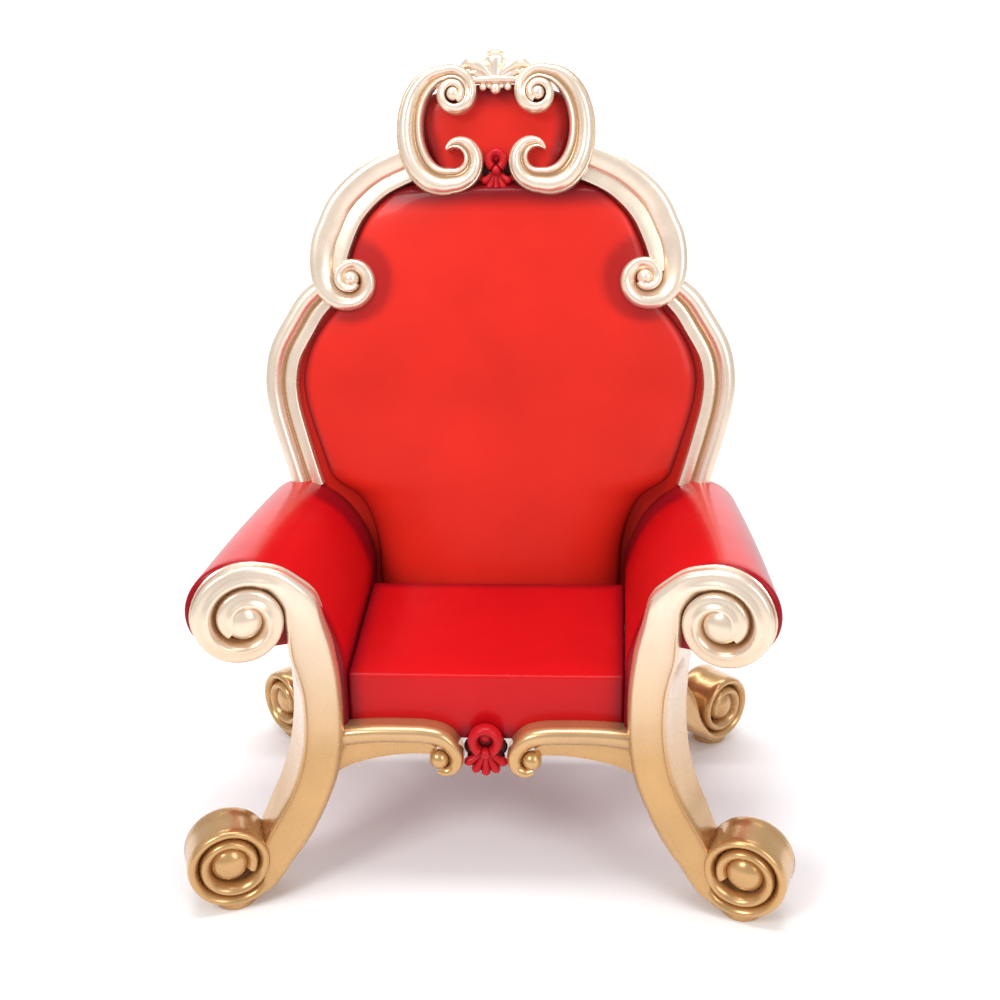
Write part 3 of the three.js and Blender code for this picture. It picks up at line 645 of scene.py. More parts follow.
def front_leg_eyes(bm, legs):
    """The domes in the arm volute and in both faces of the foot volute."""
    eye = legs.arm_eye / MM
    spot = (ARM_VOLUTE["x"] + ARM_EYE["right"], ARM_VOLUTE["z"] - ARM_EYE["lower"], ARM_EYE["level"])
    ball(bm, leg_face, spot, (eye, eye, ARM_EYE["out"]), fine=EYE_FINE)
    eye = legs.foot_eye / MM
    x = FOOT_VOLUTE["x"] + FOOT_EYE["right"]
    z = FOOT_VOLUTE["z"]
    front = FOOT_EYE["front_level"]
    rear = FOOT_EYE["rear_level"] - LEG_DEPTH["foot"]
    ball(bm, leg_face, (x, z, front), (eye, eye, FOOT_EYE["front_out"]), fine=EYE_FINE)
    ball(bm, leg_face, (x, z, rear), (eye, eye, FOOT_EYE["rear_out"]), fine=EYE_FINE)


def front_leg(bm):
    """One moulding from the arm's volute down to the foot's, with its eyes and pad."""
    sizes = bpy.context.scene.throne_mouldings
    legs = bpy.context.scene.throne_legs
    turn = sizes.steps_per_turn
    upper = spiral(ARM_VOLUTE, turn, sizes.turn_fill)[::-1]
    lower = spiral(FOOT_VOLUTE, turn, sizes.turn_fill)
    stretch = through([upper[-1], *LEG_STRETCH, lower[0]], POINTS["leg"])[1:-1]
    stations = upper + stretch + lower
    band, coil, foot = sampled(BAND), sampled(COIL), sampled(FOOT)
    mouth = len(upper) - 1
    arrive = len(upper) + len(stretch)

    def profile(i):
        if i <= mouth + COIL_RUN:
            return between(band, coil, ease(mouth - i, -COIL_RUN, CHANGE["arm"] * turn))
        return between(band, foot, foot_share(i, arrive, turn))

    moulding(bm, leg_face, stations, profile, lambda i: leg_back(stations[i]), lambda i: 0.0, lip=FOOT_LIP)
    front_leg_eyes(bm, legs)
    foot_pad(bm, leg_face.at(PAD_AT, 0, -LEG_DEPTH["foot"] / 2), legs.pad_radius)


def rear_leg(bm):
    """One moulding from under the seat down to the foot's volute, with its eyes and pad."""
    sizes = bpy.context.scene.throne_mouldings
    legs = bpy.context.scene.throne_legs
    turn = sizes.steps_per_turn
    lower = spiral(REAR_VOLUTE, turn, sizes.turn_fill)
    upper = through([*REAR_STRETCH, lower[0]], POINTS["rear_leg"])[:-1]
    band, foot = sampled(BAND), sampled(FOOT)
    arrive = len(upper)
    half = REAR_DEPTH / 2
    moulding(
        bm, rear_face, upper + lower, lambda i: between(band, foot, foot_share(i, arrive, turn)),
        lambda i: -half, lambda i: half, lip=FOOT_LIP)
    eye = legs.foot_eye / MM
    x, z = REAR_VOLUTE["x"], REAR_VOLUTE["z"]
    front = half + REAR_EYE["front_level"]
    rear = REAR_EYE["rear_level"] - half
    ball(bm, rear_face, (x, z, front), (eye, eye, REAR_EYE["front_out"]), fine=EYE_FINE)
    ball(bm, rear_face, (x, z, rear), (eye, eye, REAR_EYE["rear_out"]), fine=EYE_FINE)
    foot_pad(bm, rear_face.at(x, 0, 0), legs.pad_radius)


# ---- frame of the back ---------------------------------------------------------------------

LAYER = {"rear": -92, "border": -48, "crest": -30, "cove": -10, "rail": 0, "shoulder": 8, "crest_front": 20}
RAIL = [
    (412, 1243, 80), (456, 1206, 90), (489, 1162, 93), (538, 1084, 95), (554, 1010, 95), (548, 941, 93),
    (528, 864, 92), (505, 789, 90), (484, 720, 92),
]
SHOULDER_ROLL = [(207, 1557, 56), (311, 1508, 58), (385, 1441, 60), (423, 1368, 60)]
SHOULDER_COVE = [
    (189, 1521, 42), (287, 1473, 42), (349, 1412, 43), (382, 1347, 44), (396, 1296, 38), (402, 1268, 34),
]
SHOULDER_BRIDGE = {"pull": (26, 40), "bulge": 0, "count": 12}
SHOULDER_LIFT = 8  # how far the volute winds out of the roll's level
SHOULDER_HEART = {"x": -1, "z": 1, "below": 14, "size": (21, 21, 22)}
SHOULDER_VOLUTE = {"x": 366, "z": 1254, "radius": 98.6, "start": 0, "turns": 1.4, "hand": -1, "shrink": 0.4}
CREST_VOLUTE = {"x": 101, "z": 1692, "radius": 70, "start": 62, "turns": 1.5, "hand": 1, "shrink": 0.5}
CREST_HOOK = {"x": 97, "z": 1546, "radius": 86, "start": 282, "turns": 0.692, "hand": -1, "shrink": 0.34}
CREST_BRIDGE = {"pull": (112, 118), "bulge": 16, "count": 40}
CREST_HEART = {"below": 14, "size": (17, 17, 14)}
HOOK_TAPER = {"from": 1.12, "by": 0.95, "least": 2.0}  # the hook ends in a point


def side_rail(bm):
    """The double moulding down one side of the back."""
    band = sampled(RAIL_BAND)
    stations = through(RAIL, POINTS["rail"])
    moulding(bm, back_face, stations, lambda i: band, lambda i: LAYER["border"], lambda i: LAYER["rail"])


def shoulder_scroll(bm):
    """The broad roll of a shoulder with its volute, and the cove along its inner side."""
    sizes = bpy.context.scene.throne_mouldings
    turn = sizes.steps_per_turn
    arch = through(SHOULDER_ROLL, POINTS["shoulder_roll"])
    volute = spiral(SHOULDER_VOLUTE, turn, sizes.turn_fill)
    stations = arch + bridge(arch, volute, **SHOULDER_BRIDGE) + volute
    mouth = len(stations) - len(volute)
    roll, snail, cove = sampled(SHOULDER_BAND), sampled(SNAIL), sampled(COVE)

    def profile(i):
        return between(roll, snail, ease(i - mouth, -SHOULDER_BRIDGE["count"], CHANGE["shoulder"] * turn))

    def level(i):
        low, high = CHANGE["shoulder_lift"]
        return LAYER["shoulder"] + SHOULDER_LIFT * ease(i - mouth, low * turn, high * turn)

    moulding(bm, back_face, stations, profile, lambda i: LAYER["border"], level)
    moulding(
        bm, back_face, through(SHOULDER_COVE, POINTS["shoulder_cove"]), lambda i: cove,
        lambda i: LAYER["border"], lambda i: LAYER["cove"])
    heart = (
        SHOULDER_VOLUTE["x"] + SHOULDER_HEART["x"], SHOULDER_VOLUTE["z"] + SHOULDER_HEART["z"],
        LAYER["shoulder"] - SHOULDER_HEART["below"])
    ball(bm, back_face, heart, SHOULDER_HEART["size"])


def tapered(hook):
    """The hook's stations, narrowing to its point."""
    last = len(hook) - 1
    stations = []
    for i, (x, z, width) in enumerate(hook):
        share = HOOK_TAPER["from"] - HOOK_TAPER["by"] * (i / last) ** 4
        stations.append(Vector((x, z, max(width * share, HOOK_TAPER["least"]))))
    return stations


def crest_scroll(bm):
    """A C scroll of the crest: a volute above, a hook below."""
    sizes = bpy.context.scene.throne_mouldings
    turn = sizes.steps_per_turn
    upper = spiral(CREST_VOLUTE, turn, sizes.turn_fill)[::-1]
    hook = tapered(spiral(CREST_HOOK, turn, sizes.turn_fill))
    stations = upper + bridge(upper, hook, **CREST_BRIDGE) + hook
    mouth = len(upper) - 1
    band, snail = sampled(CREST_BAND), sampled(mirrored(SNAIL))

    def profile(i):
        low, high = CHANGE["crest"]
        return between(band, snail, ease(mouth - i, low * turn, high * turn))

    moulding(bm, back_face, stations, profile, lambda i: LAYER["crest"], lambda i: LAYER["crest_front"])
    heart = CREST_VOLUTE["x"], CREST_VOLUTE["z"], LAYER["crest_front"] - CREST_HEART["below"]
    ball(bm, back_face, heart, CREST_HEART["size"])


# ---- apron ---------------------------------------------------------------------------------

APRON_TUBE = [
    (366, 353, 52), (300, 366, 50), (240, 373, 46), (170, 374, 45), (128, 372, 45), (95, 364, 43),
    (73, 345, 37), (62, 320, 32), (68, 298, 26), (86, 289, 19), (102, 294, 16),
]
APRON_EYE = {"x": 100, "z": 315, "radius": 22, "below": 20}
APRON_COVE = [(366, 287, 62), (300, 320, 56), (245, 335, 52), (180, 343, 46), (140, 341, 38), (108, 331, 20)]
APRON_LEVEL = {"back": 0.35, "cove": 26, "front": 50}


def apron_scroll(bm):
    """The tube and cove under the seat's front, cut off where the leg stands."""
    roll, cove = sampled(mirrored(ROLL)), sampled(COVE)
    moulding(
        bm, apron_face, through(APRON_TUBE, POINTS["apron_tube"]), lambda i: roll,
        lambda i: APRON_LEVEL["back"], lambda i: APRON_LEVEL["front"])
    moulding(
        bm, apron_face, through(APRON_COVE, POINTS["apron_cove"]), lambda i: cove,
        lambda i: APRON_LEVEL["back"], lambda i: APRON_LEVEL["cove"])
    spot = APRON_EYE["x"], APRON_EYE["z"], APRON_LEVEL["front"] - APRON_EYE["below"]
    ball(bm, apron_face, spot, [APRON_EYE["radius"]] * 3)
    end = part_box("right_apron_scroll")[1].x
    everything = [*bm.verts, *bm.edges, *bm.faces]
    cut = bmesh.ops.bisect_plane(
        bm, geom=everything, plane_co=(end, 0, 0), plane_no=(1, 0, 0), clear_outer=True)["geom_cut"]
    rims = [g for g in cut if isinstance(g, bmesh.types.BMEdge)]
    bmesh.ops.holes_fill(bm, edges=rims, sides=0)


# ---- seat and arms -------------------------------------------------------------------------

SEAT = {"front_half": 296, "back_half": 322, "depth": 520, "height": 150}
# painted shade on the seat: beside the arms, before the back and at the foot of its front
SEAT_PAINTED_SHADE = {"most": 0.62, "side": 34, "behind": (468, 520), "front_foot": 45, "front_run": 12}
SEAT_CUTS = 40
SEAT_LONG = 0.1  # metres: longer edges are divided by the cuts
ARM = {
    "front": {"x": 490.3, "z": 688, "radius": 103, "wall": 296},
    "back": {"x": 519, "z": 631, "radius": 106, "wall": 331},
    "bottom": 350, "outer_wall": 385, "belly": 4, "roll": (-115, 128), "length": 788,
    "flank": {"out": 34, "down": 45, "foot": 540}, "shelf": {"out": 6, "down": 0.9}, "gap": 0.5,
}
ARM_START = 146  # along the leg's face, behind the arm volute
ARM_POINTS = {"roll": 44, "flank": 16, "wall": 5, "rim": 4, "length": 30}
# painted shade on the arms: low on the inner wall, on the outer flank and at both ends
ARM_PAINTED_SHADE = {
    "low": 0.75, "low_heights": (490, 570), "low_within": 400, "outer": 0.5, "outer_reach": (0.3, 0.95),
    "ends": 0.6, "front_run": 26, "back_run": (190, 120), "back_within": (440, 520),
}
SEAM = 0.35  # clearance between touching pieces


def seat_painted_shade(x, y, z):
    """Painted shade beside the arms, before the back and at the foot of the seat's front."""
    width = blend(SEAT["front_half"], SEAT["back_half"], y / SEAT["depth"])
    beside = 1 - ease(width - abs(x), 0, SEAT_PAINTED_SHADE["side"])
    behind = ease(y, *SEAT_PAINTED_SHADE["behind"])
    foot = SEAT_TOP - SEAT["height"]
    below = 1 - ease(z, foot, foot + SEAT_PAINTED_SHADE["front_foot"]) if y < SEAT_PAINTED_SHADE["front_run"] else 0.0
    return SEAT_PAINTED_SHADE["most"] * max(beside, behind, below)


def seat_shell(bm):
    """The hard seat block, wider behind, with softly rounded upper edges."""
    edge = bpy.context.scene.throne_shells.seat_edge
    for v in bmesh.ops.create_cube(bm, size=1)["verts"]:
        half = SEAT["front_half"] if v.co.y < 0 else SEAT["back_half"]
        y = SEAT_FRONT + (0 if v.co.y < 0 else SEAT["depth"])
        z = SEAT_TOP - (0 if v.co.z > 0 else SEAT["height"])
        v.co = Vector((math.copysign(half, v.co.x), y, z)) * MM
    rims = [e for e in bm.edges if any(v.co.z > (SEAT_TOP - 1) * MM for v in e.verts)]
    bmesh.ops.bevel(bm, geom=rims, affect="EDGES", offset=edge, segments=5, profile=0.5, material=-1)
    long = [e for e in bm.edges if e.calc_length() > SEAT_LONG]
    bmesh.ops.subdivide_edges(bm, edges=long, cuts=SEAT_CUTS, use_grid_fill=True)
    shade = painted_shade_layer(bm)
    for v in bm.verts:
        v[shade] = seat_painted_shade(v.co.x / MM, v.co.y / MM - SEAT_FRONT, v.co.z / MM)


def bent(a, b, c, t):
    """A place on the curve that leaves a towards b and arrives at c."""
    return a * (1 - t) ** 2 + b * 2 * t * (1 - t) + c * t * t


def arm_outline(centre_x, centre_z, radius, wall):
    """The arm across its length: from under the roll, over the top and down the inner wall."""
    points = []
    low, high = ARM["roll"]
    for j in range(ARM_POINTS["roll"] + 1):
        angle = math.radians(blend(low, high, j / ARM_POINTS["roll"]))
        points.append((centre_x + radius * math.cos(angle), centre_z + radius * math.sin(angle)))
    crown_x, crown_z = points[-1]
    flank = ARM["flank"]
    for j in range(ARM_POINTS["flank"]):
        t = (j + 1) / ARM_POINTS["flank"]
        x = bent(crown_x, wall + flank["out"], wall, t)
        points.append((x, bent(crown_z, crown_z - flank["down"], flank["foot"], t)))
    for j in range(ARM_POINTS["wall"]):
        points.append((wall, blend(flank["foot"], ARM["bottom"], (j + 1) / ARM_POINTS["wall"])))
    outer = ARM["outer_wall"]
    points.append((outer, ARM["bottom"]))
    points.append((outer, blend(ARM["bottom"], centre_z - radius, 0.5)))
    points.append((outer + ARM["shelf"]["out"], centre_z - ARM["shelf"]["down"] * radius))
    return points


def arm_runs():
    """(run, inset) along the arm: the rounded front rim, then the even length."""
    end = bpy.context.scene.throne_shells.arm_end / MM
    runs = []
    for j in range(ARM_POINTS["rim"] + 1):
        t = j / ARM_POINTS["rim"]
        runs.append((t * end, end * (1 - math.sqrt(1 - (1 - t) ** 2))))
    for j in range(ARM_POINTS["length"]):
        runs.append((blend(end, ARM["length"], (j + 1) / ARM_POINTS["length"]), 0.0))
    return runs


def arm_painted_shade(x, z, run, centre_x, radius):
    """Painted shade low on the inner wall, on the outer flank and at both ends."""
    low = ARM_PAINTED_SHADE["low"] * (1 - ease(z, *ARM_PAINTED_SHADE["low_heights"])) if x < ARM_PAINTED_SHADE["low_within"] else 0.0
    near, far = ARM_PAINTED_SHADE["outer_reach"]
    outer = ARM_PAINTED_SHADE["outer"] * ease(x - centre_x, near * radius, far * radius)
    start, full = (ARM["length"] - left for left in ARM_PAINTED_SHADE["back_run"])
    front_end = 1 - ease(run, 0, ARM_PAINTED_SHADE["front_run"])
    back_end = ease(run, start, full) * (1 - ease(x, *ARM_PAINTED_SHADE["back_within"]))
    return max(low, outer, ARM_PAINTED_SHADE["ends"] * max(front_end, back_end))


def arm_shell(bm):
    """The rolled arm from behind its volute to the back, with the wall below it."""
    start = leg_face.at(ARM_START, 0, -LEG_DEPTH["top"] - SEAM) / MM
    front, back = ARM["front"], ARM["back"]
    rings = []
    for run, inset in arm_runs():
        t = run / ARM["length"]
        radius = blend(front["radius"], back["radius"], t) + ARM["belly"] * math.sin(math.pi * t) - inset
        centre_x = blend(start.x, back["x"], t)
        centre_z = blend(front["z"], back["z"], t)
        ring = []
        for x, z in arm_outline(centre_x, centre_z, radius, blend(front["wall"], back["wall"], t) + inset):
            fore = start.y - (x - start.x) * math.tan(LEG_TURN)
            rear = back_face.at(0, z, LAYER["border"]).y / MM - ARM["gap"]
            place = Vector((x, blend(fore, rear, t), z)) * MM
            ring.append((place, arm_painted_shade(x, z, run, centre_x, radius)))
        rings.append(ring)
    skin(bm, rings)


# ---- back panel ----------------------------------------------------------------------------

SLAB = [
    (0, 1716), (100, 1716), (160, 1694), (196, 1650), (206, 1600), (196, 1562), (240, 1524), (304, 1490),
    (374, 1428), (414, 1350), (424, 1280), (430, 1240), (478, 1190), (536, 1122), (560, 1035), (552, 926),
    (522, 826), (492, 720), (470, 640), (420, 540), (400, 350),
]
FIELD = [
    (470, 317), (505, 318), (580, 322), (650, 340), (705, 372), (750, 436), (800, 456), (850, 472),
    (900, 487), (950, 499), (1010, 503), (1069, 488), (1110, 468), (1150, 440), (1180, 414), (1235, 384),
    (1291, 373), (1341, 357), (1402, 326), (1430, 300), (1456, 270), (1480, 226), (1502, 176),
]
CROWN = [
    (1, -36), (0.99, -27), (0.97, -22), (0.94, -19), (0.87, -15), (0.75, -10), (0.5, -2), (0.25, 5), (0, 8),
]
FIELD_BULGE = {"rise": 52, "from": 1000, "to": 520}
FIELD_LOW = 4  # how far the fields' flat backs reach behind the border's level
FIELD_TOP = {"flat_over": 40, "by": 0.8, "above_border": 2}
CREST_FIELD = [
    (1474, 118), (1500, 138), (1540, 158), (1580, 172), (1620, 186), (1660, 186), (1690, 160), (1712, 100),
]
CREST_DOME = {"middle": 4, "fall": 16}
FIELD_SHARES = [  # of the half width, close together near the edge
    *(1 - i / 100 for i in range(12)), *(0.88 - i * 0.04 for i in range(22)), 0.0,
]
# painted shade on the back's field: along its edges, round the shoulder volutes and under the crest
FIELD_PAINTED_SHADE = {
    "edge": 0.75, "edge_shares": (0.95, 1.0), "volute": 0.45, "volute_reach": (-6, 18),
    "crest": 0.8, "crest_heights": (1412, 1462),
}
CREST_PAINTED_SHADE = {"most": 0.7, "shares": (0.72, 0.95), "heights": (1650, 1700)}


def plate(bm, outline, back, front, radius):
    """A plate on the back face with softly rounded edges, from half of its outline."""
    ring = [back_face.at(x, z, 0) for x, z in outline]
    ring += [back_face.at(-x, z, 0) for x, z in reversed(outline) if x > 0]
    made = bmesh.ops.create_circle(bm, cap_ends=True, segments=len(ring), radius=1)["verts"]
    for v, place in zip(made, ring):
        v.co = place + back_face.out * (back * MM)
    grown = bmesh.ops.extrude_face_region(bm, geom=list(made[0].link_faces), use_keep_orig=True)["geom"]
    top = [g for g in grown if isinstance(g, bmesh.types.BMVert)]
    bmesh.ops.translate(bm, vec=back_face.out * ((front - back) * MM), verts=top)
    rims = [e for e in edges_of(made) if all(v in made for v in e.verts)]
    bmesh.ops.bevel(bm, geom=rims, affect="EDGES", offset=radius, segments=4, profile=0.5, material=-1)


def field_height(z, share):
    """How far the red field stands out at a height and at a share of its half width."""
    out = CROWN[-1][1]
    for (a, out_a), (b, out_b) in zip(CROWN, CROWN[1:]):
        if a >= share >= b:
            out = blend(out_a, out_b, (a - share) / (a - b))
            break
    rise = ease(FIELD_BULGE["from"] - z, 0, FIELD_BULGE["from"] - FIELD_BULGE["to"])
    return out + FIELD_BULGE["rise"] * rise * (1 - share ** 10)


def field_painted_shade(z, x, share):
    """Painted shade on the field: along its edges, round the volutes and under the crest."""
    middle = math.hypot(abs(x) - SHOULDER_VOLUTE["x"], z - SHOULDER_VOLUTE["z"])
    away = middle - SHOULDER_VOLUTE["radius"]
    return max(
        FIELD_PAINTED_SHADE["edge"] * ease(share, *FIELD_PAINTED_SHADE["edge_shares"]),
        FIELD_PAINTED_SHADE["volute"] * (1 - ease(away, *FIELD_PAINTED_SHADE["volute_reach"])),
        FIELD_PAINTED_SHADE["crest"] * ease(z, *FIELD_PAINTED_SHADE["crest_heights"]))


def crest_painted_shade(z, x, share):
    """Painted shade along the sides and the top of the crest field."""
    sides = ease(share, *CREST_PAINTED_SHADE["shares"])
    top = ease(z, *CREST_PAINTED_SHADE["heights"])
    return CREST_PAINTED_SHADE["most"] * max(sides, top)


def crowned(bm, rows, height, painted_shade):
    """A domed field of rows (z, half width) closed by a flat back."""
    shares = FIELD_SHARES + [-share for share in reversed(FIELD_SHARES[:-1])]
    rings = []
    for z, half in rows:
        ring = []
        for share in shares:
            across = share * half
            ring.append((back_face.at(across, z, height(z, abs(share))), painted_shade(z, across, abs(share))))
        for across in (-half, half):
            # full painted shade on the field's sides, down to its flat back
            ring.append((back_face.at(across, z, LAYER["border"] - FIELD_LOW), 1.0))
        rings.append(ring)
    skin(bm, rings)


def rows_of(outline, count):
    """Smooth rows (z, half width) through an outline's points."""
    return [(p.x, p.y) for p in through([(z, half, 0) for z, half in outline], count)]


def back_shell(bm):
    """The crowned field, the small field in the crest and the slab behind them."""
    rows = rows_of(FIELD, POINTS["field"])
    top = rows[-1][0]

    def height(z, share):
        flat = 1 - FIELD_TOP["by"] * ease(z, top - FIELD_TOP["flat_over"], top)
        return blend(LAYER["border"] + FIELD_TOP["above_border"], field_height(z, share), flat)

    def crest_height(z, share):
        return LAYER["crest"] + CREST_DOME["middle"] - CREST_DOME["fall"] * share ** 6

    crowned(bm, rows, height, field_painted_shade)
    crowned(bm, rows_of(CREST_FIELD, POINTS["crest_field"]), crest_height, crest_painted_shade)
    plate(bm, SLAB, LAYER["rear"], LAYER["border"] - SEAM, bpy.context.scene.throne_shells.slab_edge)


# ---- ornaments -----------------------------------------------------------------------------

FINIAL = {
    "bar": [(-50, 1722, 17), (0, 1723, 20), (50, 1722, 17)],
    "stem": [
        (15, 1724), (16, 1738), (19, 1752), (25, 1767), (23, 1772), (18, 1775), (22, 1780), (20, 1785),
        (10, 1790),
    ],
    "drops": [(0, 1703, 13), (30, 1707, 9), (-30, 1707, 9), (15, 1709, 6), (-15, 1709, 6)],
}
LEAVES = [
    {"level": -10, "line": [(8, 1728, 18), (30, 1748, 32), (58, 1760, 32), (84, 1752, 10)]},
    {"level": -12, "line": [(8, 1730, 16), (24, 1752, 26), (42, 1771, 11)]},
    {"level": -6, "line": [(20, 1728, 12), (45, 1738, 16), (70, 1737, 8)]},
]
FINIAL_LEVEL = {"stem": -10, "bar": -9, "drops": -8}
STEM = {"sides": 24, "depth": 0.8}
BAR_DEPTH = 1.6
LEAF_DEPTH = 1.3
ROD_SIDES = 20
DROP_FINE = 20


def rod(bm, face, stations, level, depth, painted_shade=0.1):
    """A round bar or leaf along stations; depth is its thickness for its width."""
    rings = []
    for (x, z, width), heading in zip(stations, headings(stations)):
        ring = []
        for j in range(ROD_SIDES):
            angle = TURN * j / ROD_SIDES
            across = -math.cos(angle) * width / 2
            out = math.sin(angle) * depth * width / 2
            place = face.at(x - heading.y * across, z + heading.x * across, level + out)
            # painted shade on the half that faces the panel
            ring.append((place, painted_shade if out < 0 else 0.0))
        rings.append(ring)
    skin(bm, rings)


def stem(bm):
    """The turned bud in the middle of the finial."""
    rings = []
    for radius, z in FINIAL["stem"]:
        ring = []
        for j in range(STEM["sides"]):
            angle = TURN * j / STEM["sides"]
            out = FINIAL_LEVEL["stem"] - STEM["depth"] * radius * math.sin(angle)
            ring.append((back_face.at(radius * math.cos(angle), z, out), 0.0))
        rings.append(ring)
    skin(bm, rings)


def finial(bm):
    """A crown of leaves on a bar, with a bud above and drops below."""
    stem(bm)
    rod(bm, back_face, through(FINIAL["bar"], POINTS["bar"]), FINIAL_LEVEL["bar"], BAR_DEPTH)
    for flip in (1, -1):
        for leaf in LEAVES:
            line = [Vector((flip * p.x, p.y, p.z)) for p in through(leaf["line"], POINTS["leaf"])]
            rod(bm, back_face, line, leaf["level"], LEAF_DEPTH)
    for x, z, radius in FINIAL["drops"]:
        ball(bm, back_face, (x, z, FINIAL_LEVEL["drops"]), (radius, radius, radius), fine=DROP_FINE)


CREST_ROSETTE = {"z": 1510, "fan": 50, "hood": 30, "rise": 26, "level": -30, "ribs": 5}
APRON_ROSETTE = {"z": 331, "fan": 62, "hood": 40, "rise": 30, "level": 0, "ribs": 5}
HOOD = {"sweep": (-58, 238), "width": 22, "inset": 11, "narrow": 0.92, "depth": 1.7, "out": 22}
# painted shade fills the hollow under the hood
HOLLOW = [  # rise and size are shares of the hood's radius
    {"rise": 0, "size": (0.8, 0.85), "out": 8, "depth": 14, "painted_shade": 0.9},
    {"rise": 0.25, "size": (0.36, 0.4), "out": 18, "depth": 10, "painted_shade": 0.2},
]
KNOB = {"above": 2, "out": 27, "size": (12, 13, 15)}
# the ribs' rear halves get painted shade
FAN = {
    "sweep": (-148, -32), "narrow": 0.86, "depth": 1.3, "out": 14, "painted_shade": 0.5, "foot_above": 4,
    "foot_width": 8,
}
RIB = [(0.5, 15), (0.86, 20), (0.99, 8)]  # share of the way to the tip, width
# the backing domes are a dark sheet of painted shade behind the fan
BACKING = [  # rise and size are shares of the fan's reach
    {"rise": -0.3, "size": (0.66, 0.62), "out": 4, "depth": 12, "painted_shade": 1.0},
    {"rise": 0.12, "size": (0.76, 0.55), "out": 5, "depth": 6, "painted_shade": 1.0},
]


def domes(bm, face, table, z, reach, level):
    """Low domes one over the other, sized by a reach."""
    for dome in table:
        wide, tall = dome["size"]
        spot = (0, z + dome["rise"] * reach, level + dome["out"])
        ball(bm, face, spot, (reach * wide, reach * tall, dome["depth"]), painted_shade=dome["painted_shade"])


def hood(bm, face, centre, radius, level):
    """The round bar that arches over the hollow, and the domes inside it."""
    reach = radius - HOOD["inset"]
    arch = []
    for j in range(POINTS["hood"] + 1):
        angle = math.radians(blend(*HOOD["sweep"], j / POINTS["hood"]))
        x = HOOD["narrow"] * reach * math.cos(angle)
        arch.append(Vector((x, centre + reach * math.sin(angle), HOOD["width"])))
    rod(bm, face, arch, level + HOOD["out"], HOOD["depth"], 0.0)
    domes(bm, face, HOLLOW, centre, radius, level)


def fan(bm, face, z, reach, count, level):
    """The spread ribs of the shell, each a leaf that swells before its tip."""
    for j in range(count):
        angle = math.radians(blend(*FAN["sweep"], j / (count - 1)))
        x = FAN["narrow"] * reach * math.cos(angle)
        drop = reach * math.sin(angle)
        foot = (0, z + FAN["foot_above"], FAN["foot_width"])
        line = through([foot, *((x * t, z + drop * t, width) for t, width in RIB)], POINTS["rib"])
        rod(bm, face, line, level + FAN["out"], FAN["depth"], FAN["painted_shade"])


def rosette(bm, face, shape):
    """A shell: a hollow hood above a knob, with a fan of ribs below it and a backing dark with painted shade.
    """
    z, level = shape["z"], shape["level"]
    hood(bm, face, z + shape["rise"], shape["hood"], level)
    ball(bm, face, (0, z + KNOB["above"], level + KNOB["out"]), KNOB["size"])
    fan(bm, face, z, shape["fan"], shape["ribs"], level)
    domes(bm, face, BACKING, z, shape["fan"], level)


# ---- stage ---------------------------------------------------------------------------------

LAMPS = [  # metres and watts
    {"name": "key", "spot": (-2.2, -3.2, 3.6), "aim": (0, 0, 0.9), "size": (1.4, 1.4), "power": 80},
    {"name": "fill", "spot": (2.6, -2.8, 2.4), "aim": (0, 0, 0.8), "size": (1.2, 2.4), "power": 38},
    {"name": "top", "spot": (0, -0.4, 4.0), "aim": (0, 0, 0.6), "size": (2.6, 1.2), "power": 66},
    {"name": "wash", "spot": (0, 2.6, 4.8), "aim": (0, 5.6, 1.4), "size": (6.0, 1.0), "power": 230},
]
BACKDROP = {"half": 8, "rows": 60, "from": 3.4, "radius": 2.4}  # metres: the floor curves up behind
SKY = {"colour": "#ECEDF0", "strength": 0.72}
FLOOR_COLOUR = "#FAFAFA"
SENSOR = 36.0  # mm, the camera's width


def lamp(context, name, spot, aim, size, power):
    """A soft area light at a spot, turned to its aim."""
    data = bpy.data.lights.new(name, "AREA")
    data.shape = "RECTANGLE"
    data.size, data.size_y = size
    data.energy = power
    made = bpy.data.objects.new(name, data)
    made.location = spot
    made.rotation_euler = (Vector(aim) - Vector(spot)).to_track_quat("-Z", "Y").to_euler()
    context.scene.collection.objects.link(made)


def studio_sky(context):
    """An even pale light from all round."""
    world = bpy.data.worlds.new("studio")
    context.scene.world = world
    world.use_nodes = True
    background = world.node_tree.nodes["Background"]
    background.inputs["Color"].default_value = linear(SKY["colour"])
    background.inputs["Strength"].default_value = SKY["strength"]


def studio_floor(context):
    """A matt pale sheet that lies flat under the throne and curves up behind it."""
    bm = bmesh.new()
    bmesh.ops.create_grid(bm, x_segments=2, y_segments=BACKDROP["rows"], size=BACKDROP["half"])
    start, radius = BACKDROP["from"], BACKDROP["radius"]
    for v in bm.verts:
        over = v.co.y - start
        angle = min(max(over / radius, 0), math.pi / 2)
        rise = max(over - radius * math.pi / 2, 0)
        v.co.y = min(v.co.y, start) + radius * math.sin(angle)
        v.co.z = radius * (1 - math.cos(angle)) + rise
    for f in bm.faces:
        f.smooth = True
    mesh = bpy.data.meshes.new("floor")
    bm.to_mesh(mesh)
    bm.free()
    floor = bpy.data.objects.new("floor", mesh)
    context.scene.collection.objects.link(floor)
    material, _, shader = surface("pale_studio_floor")
    shader.inputs["Base Color"].default_value = linear(FLOOR_COLOUR)
    shader.inputs["Roughness"].default_value = 0.9
    mesh.materials.append(material)


# ---- operators -----------------------------------------------------------------------------


class THRONE_OT_front_legs(bpy.types.Operator):
    """Make the two front legs, from arm volute to foot"""
    bl_idname, bl_label = "throne.front_legs", "Front legs"

    def execute(self, context):
        pair(front_leg, "front_leg", finish_of("gold"))
        return {"FINISHED"}


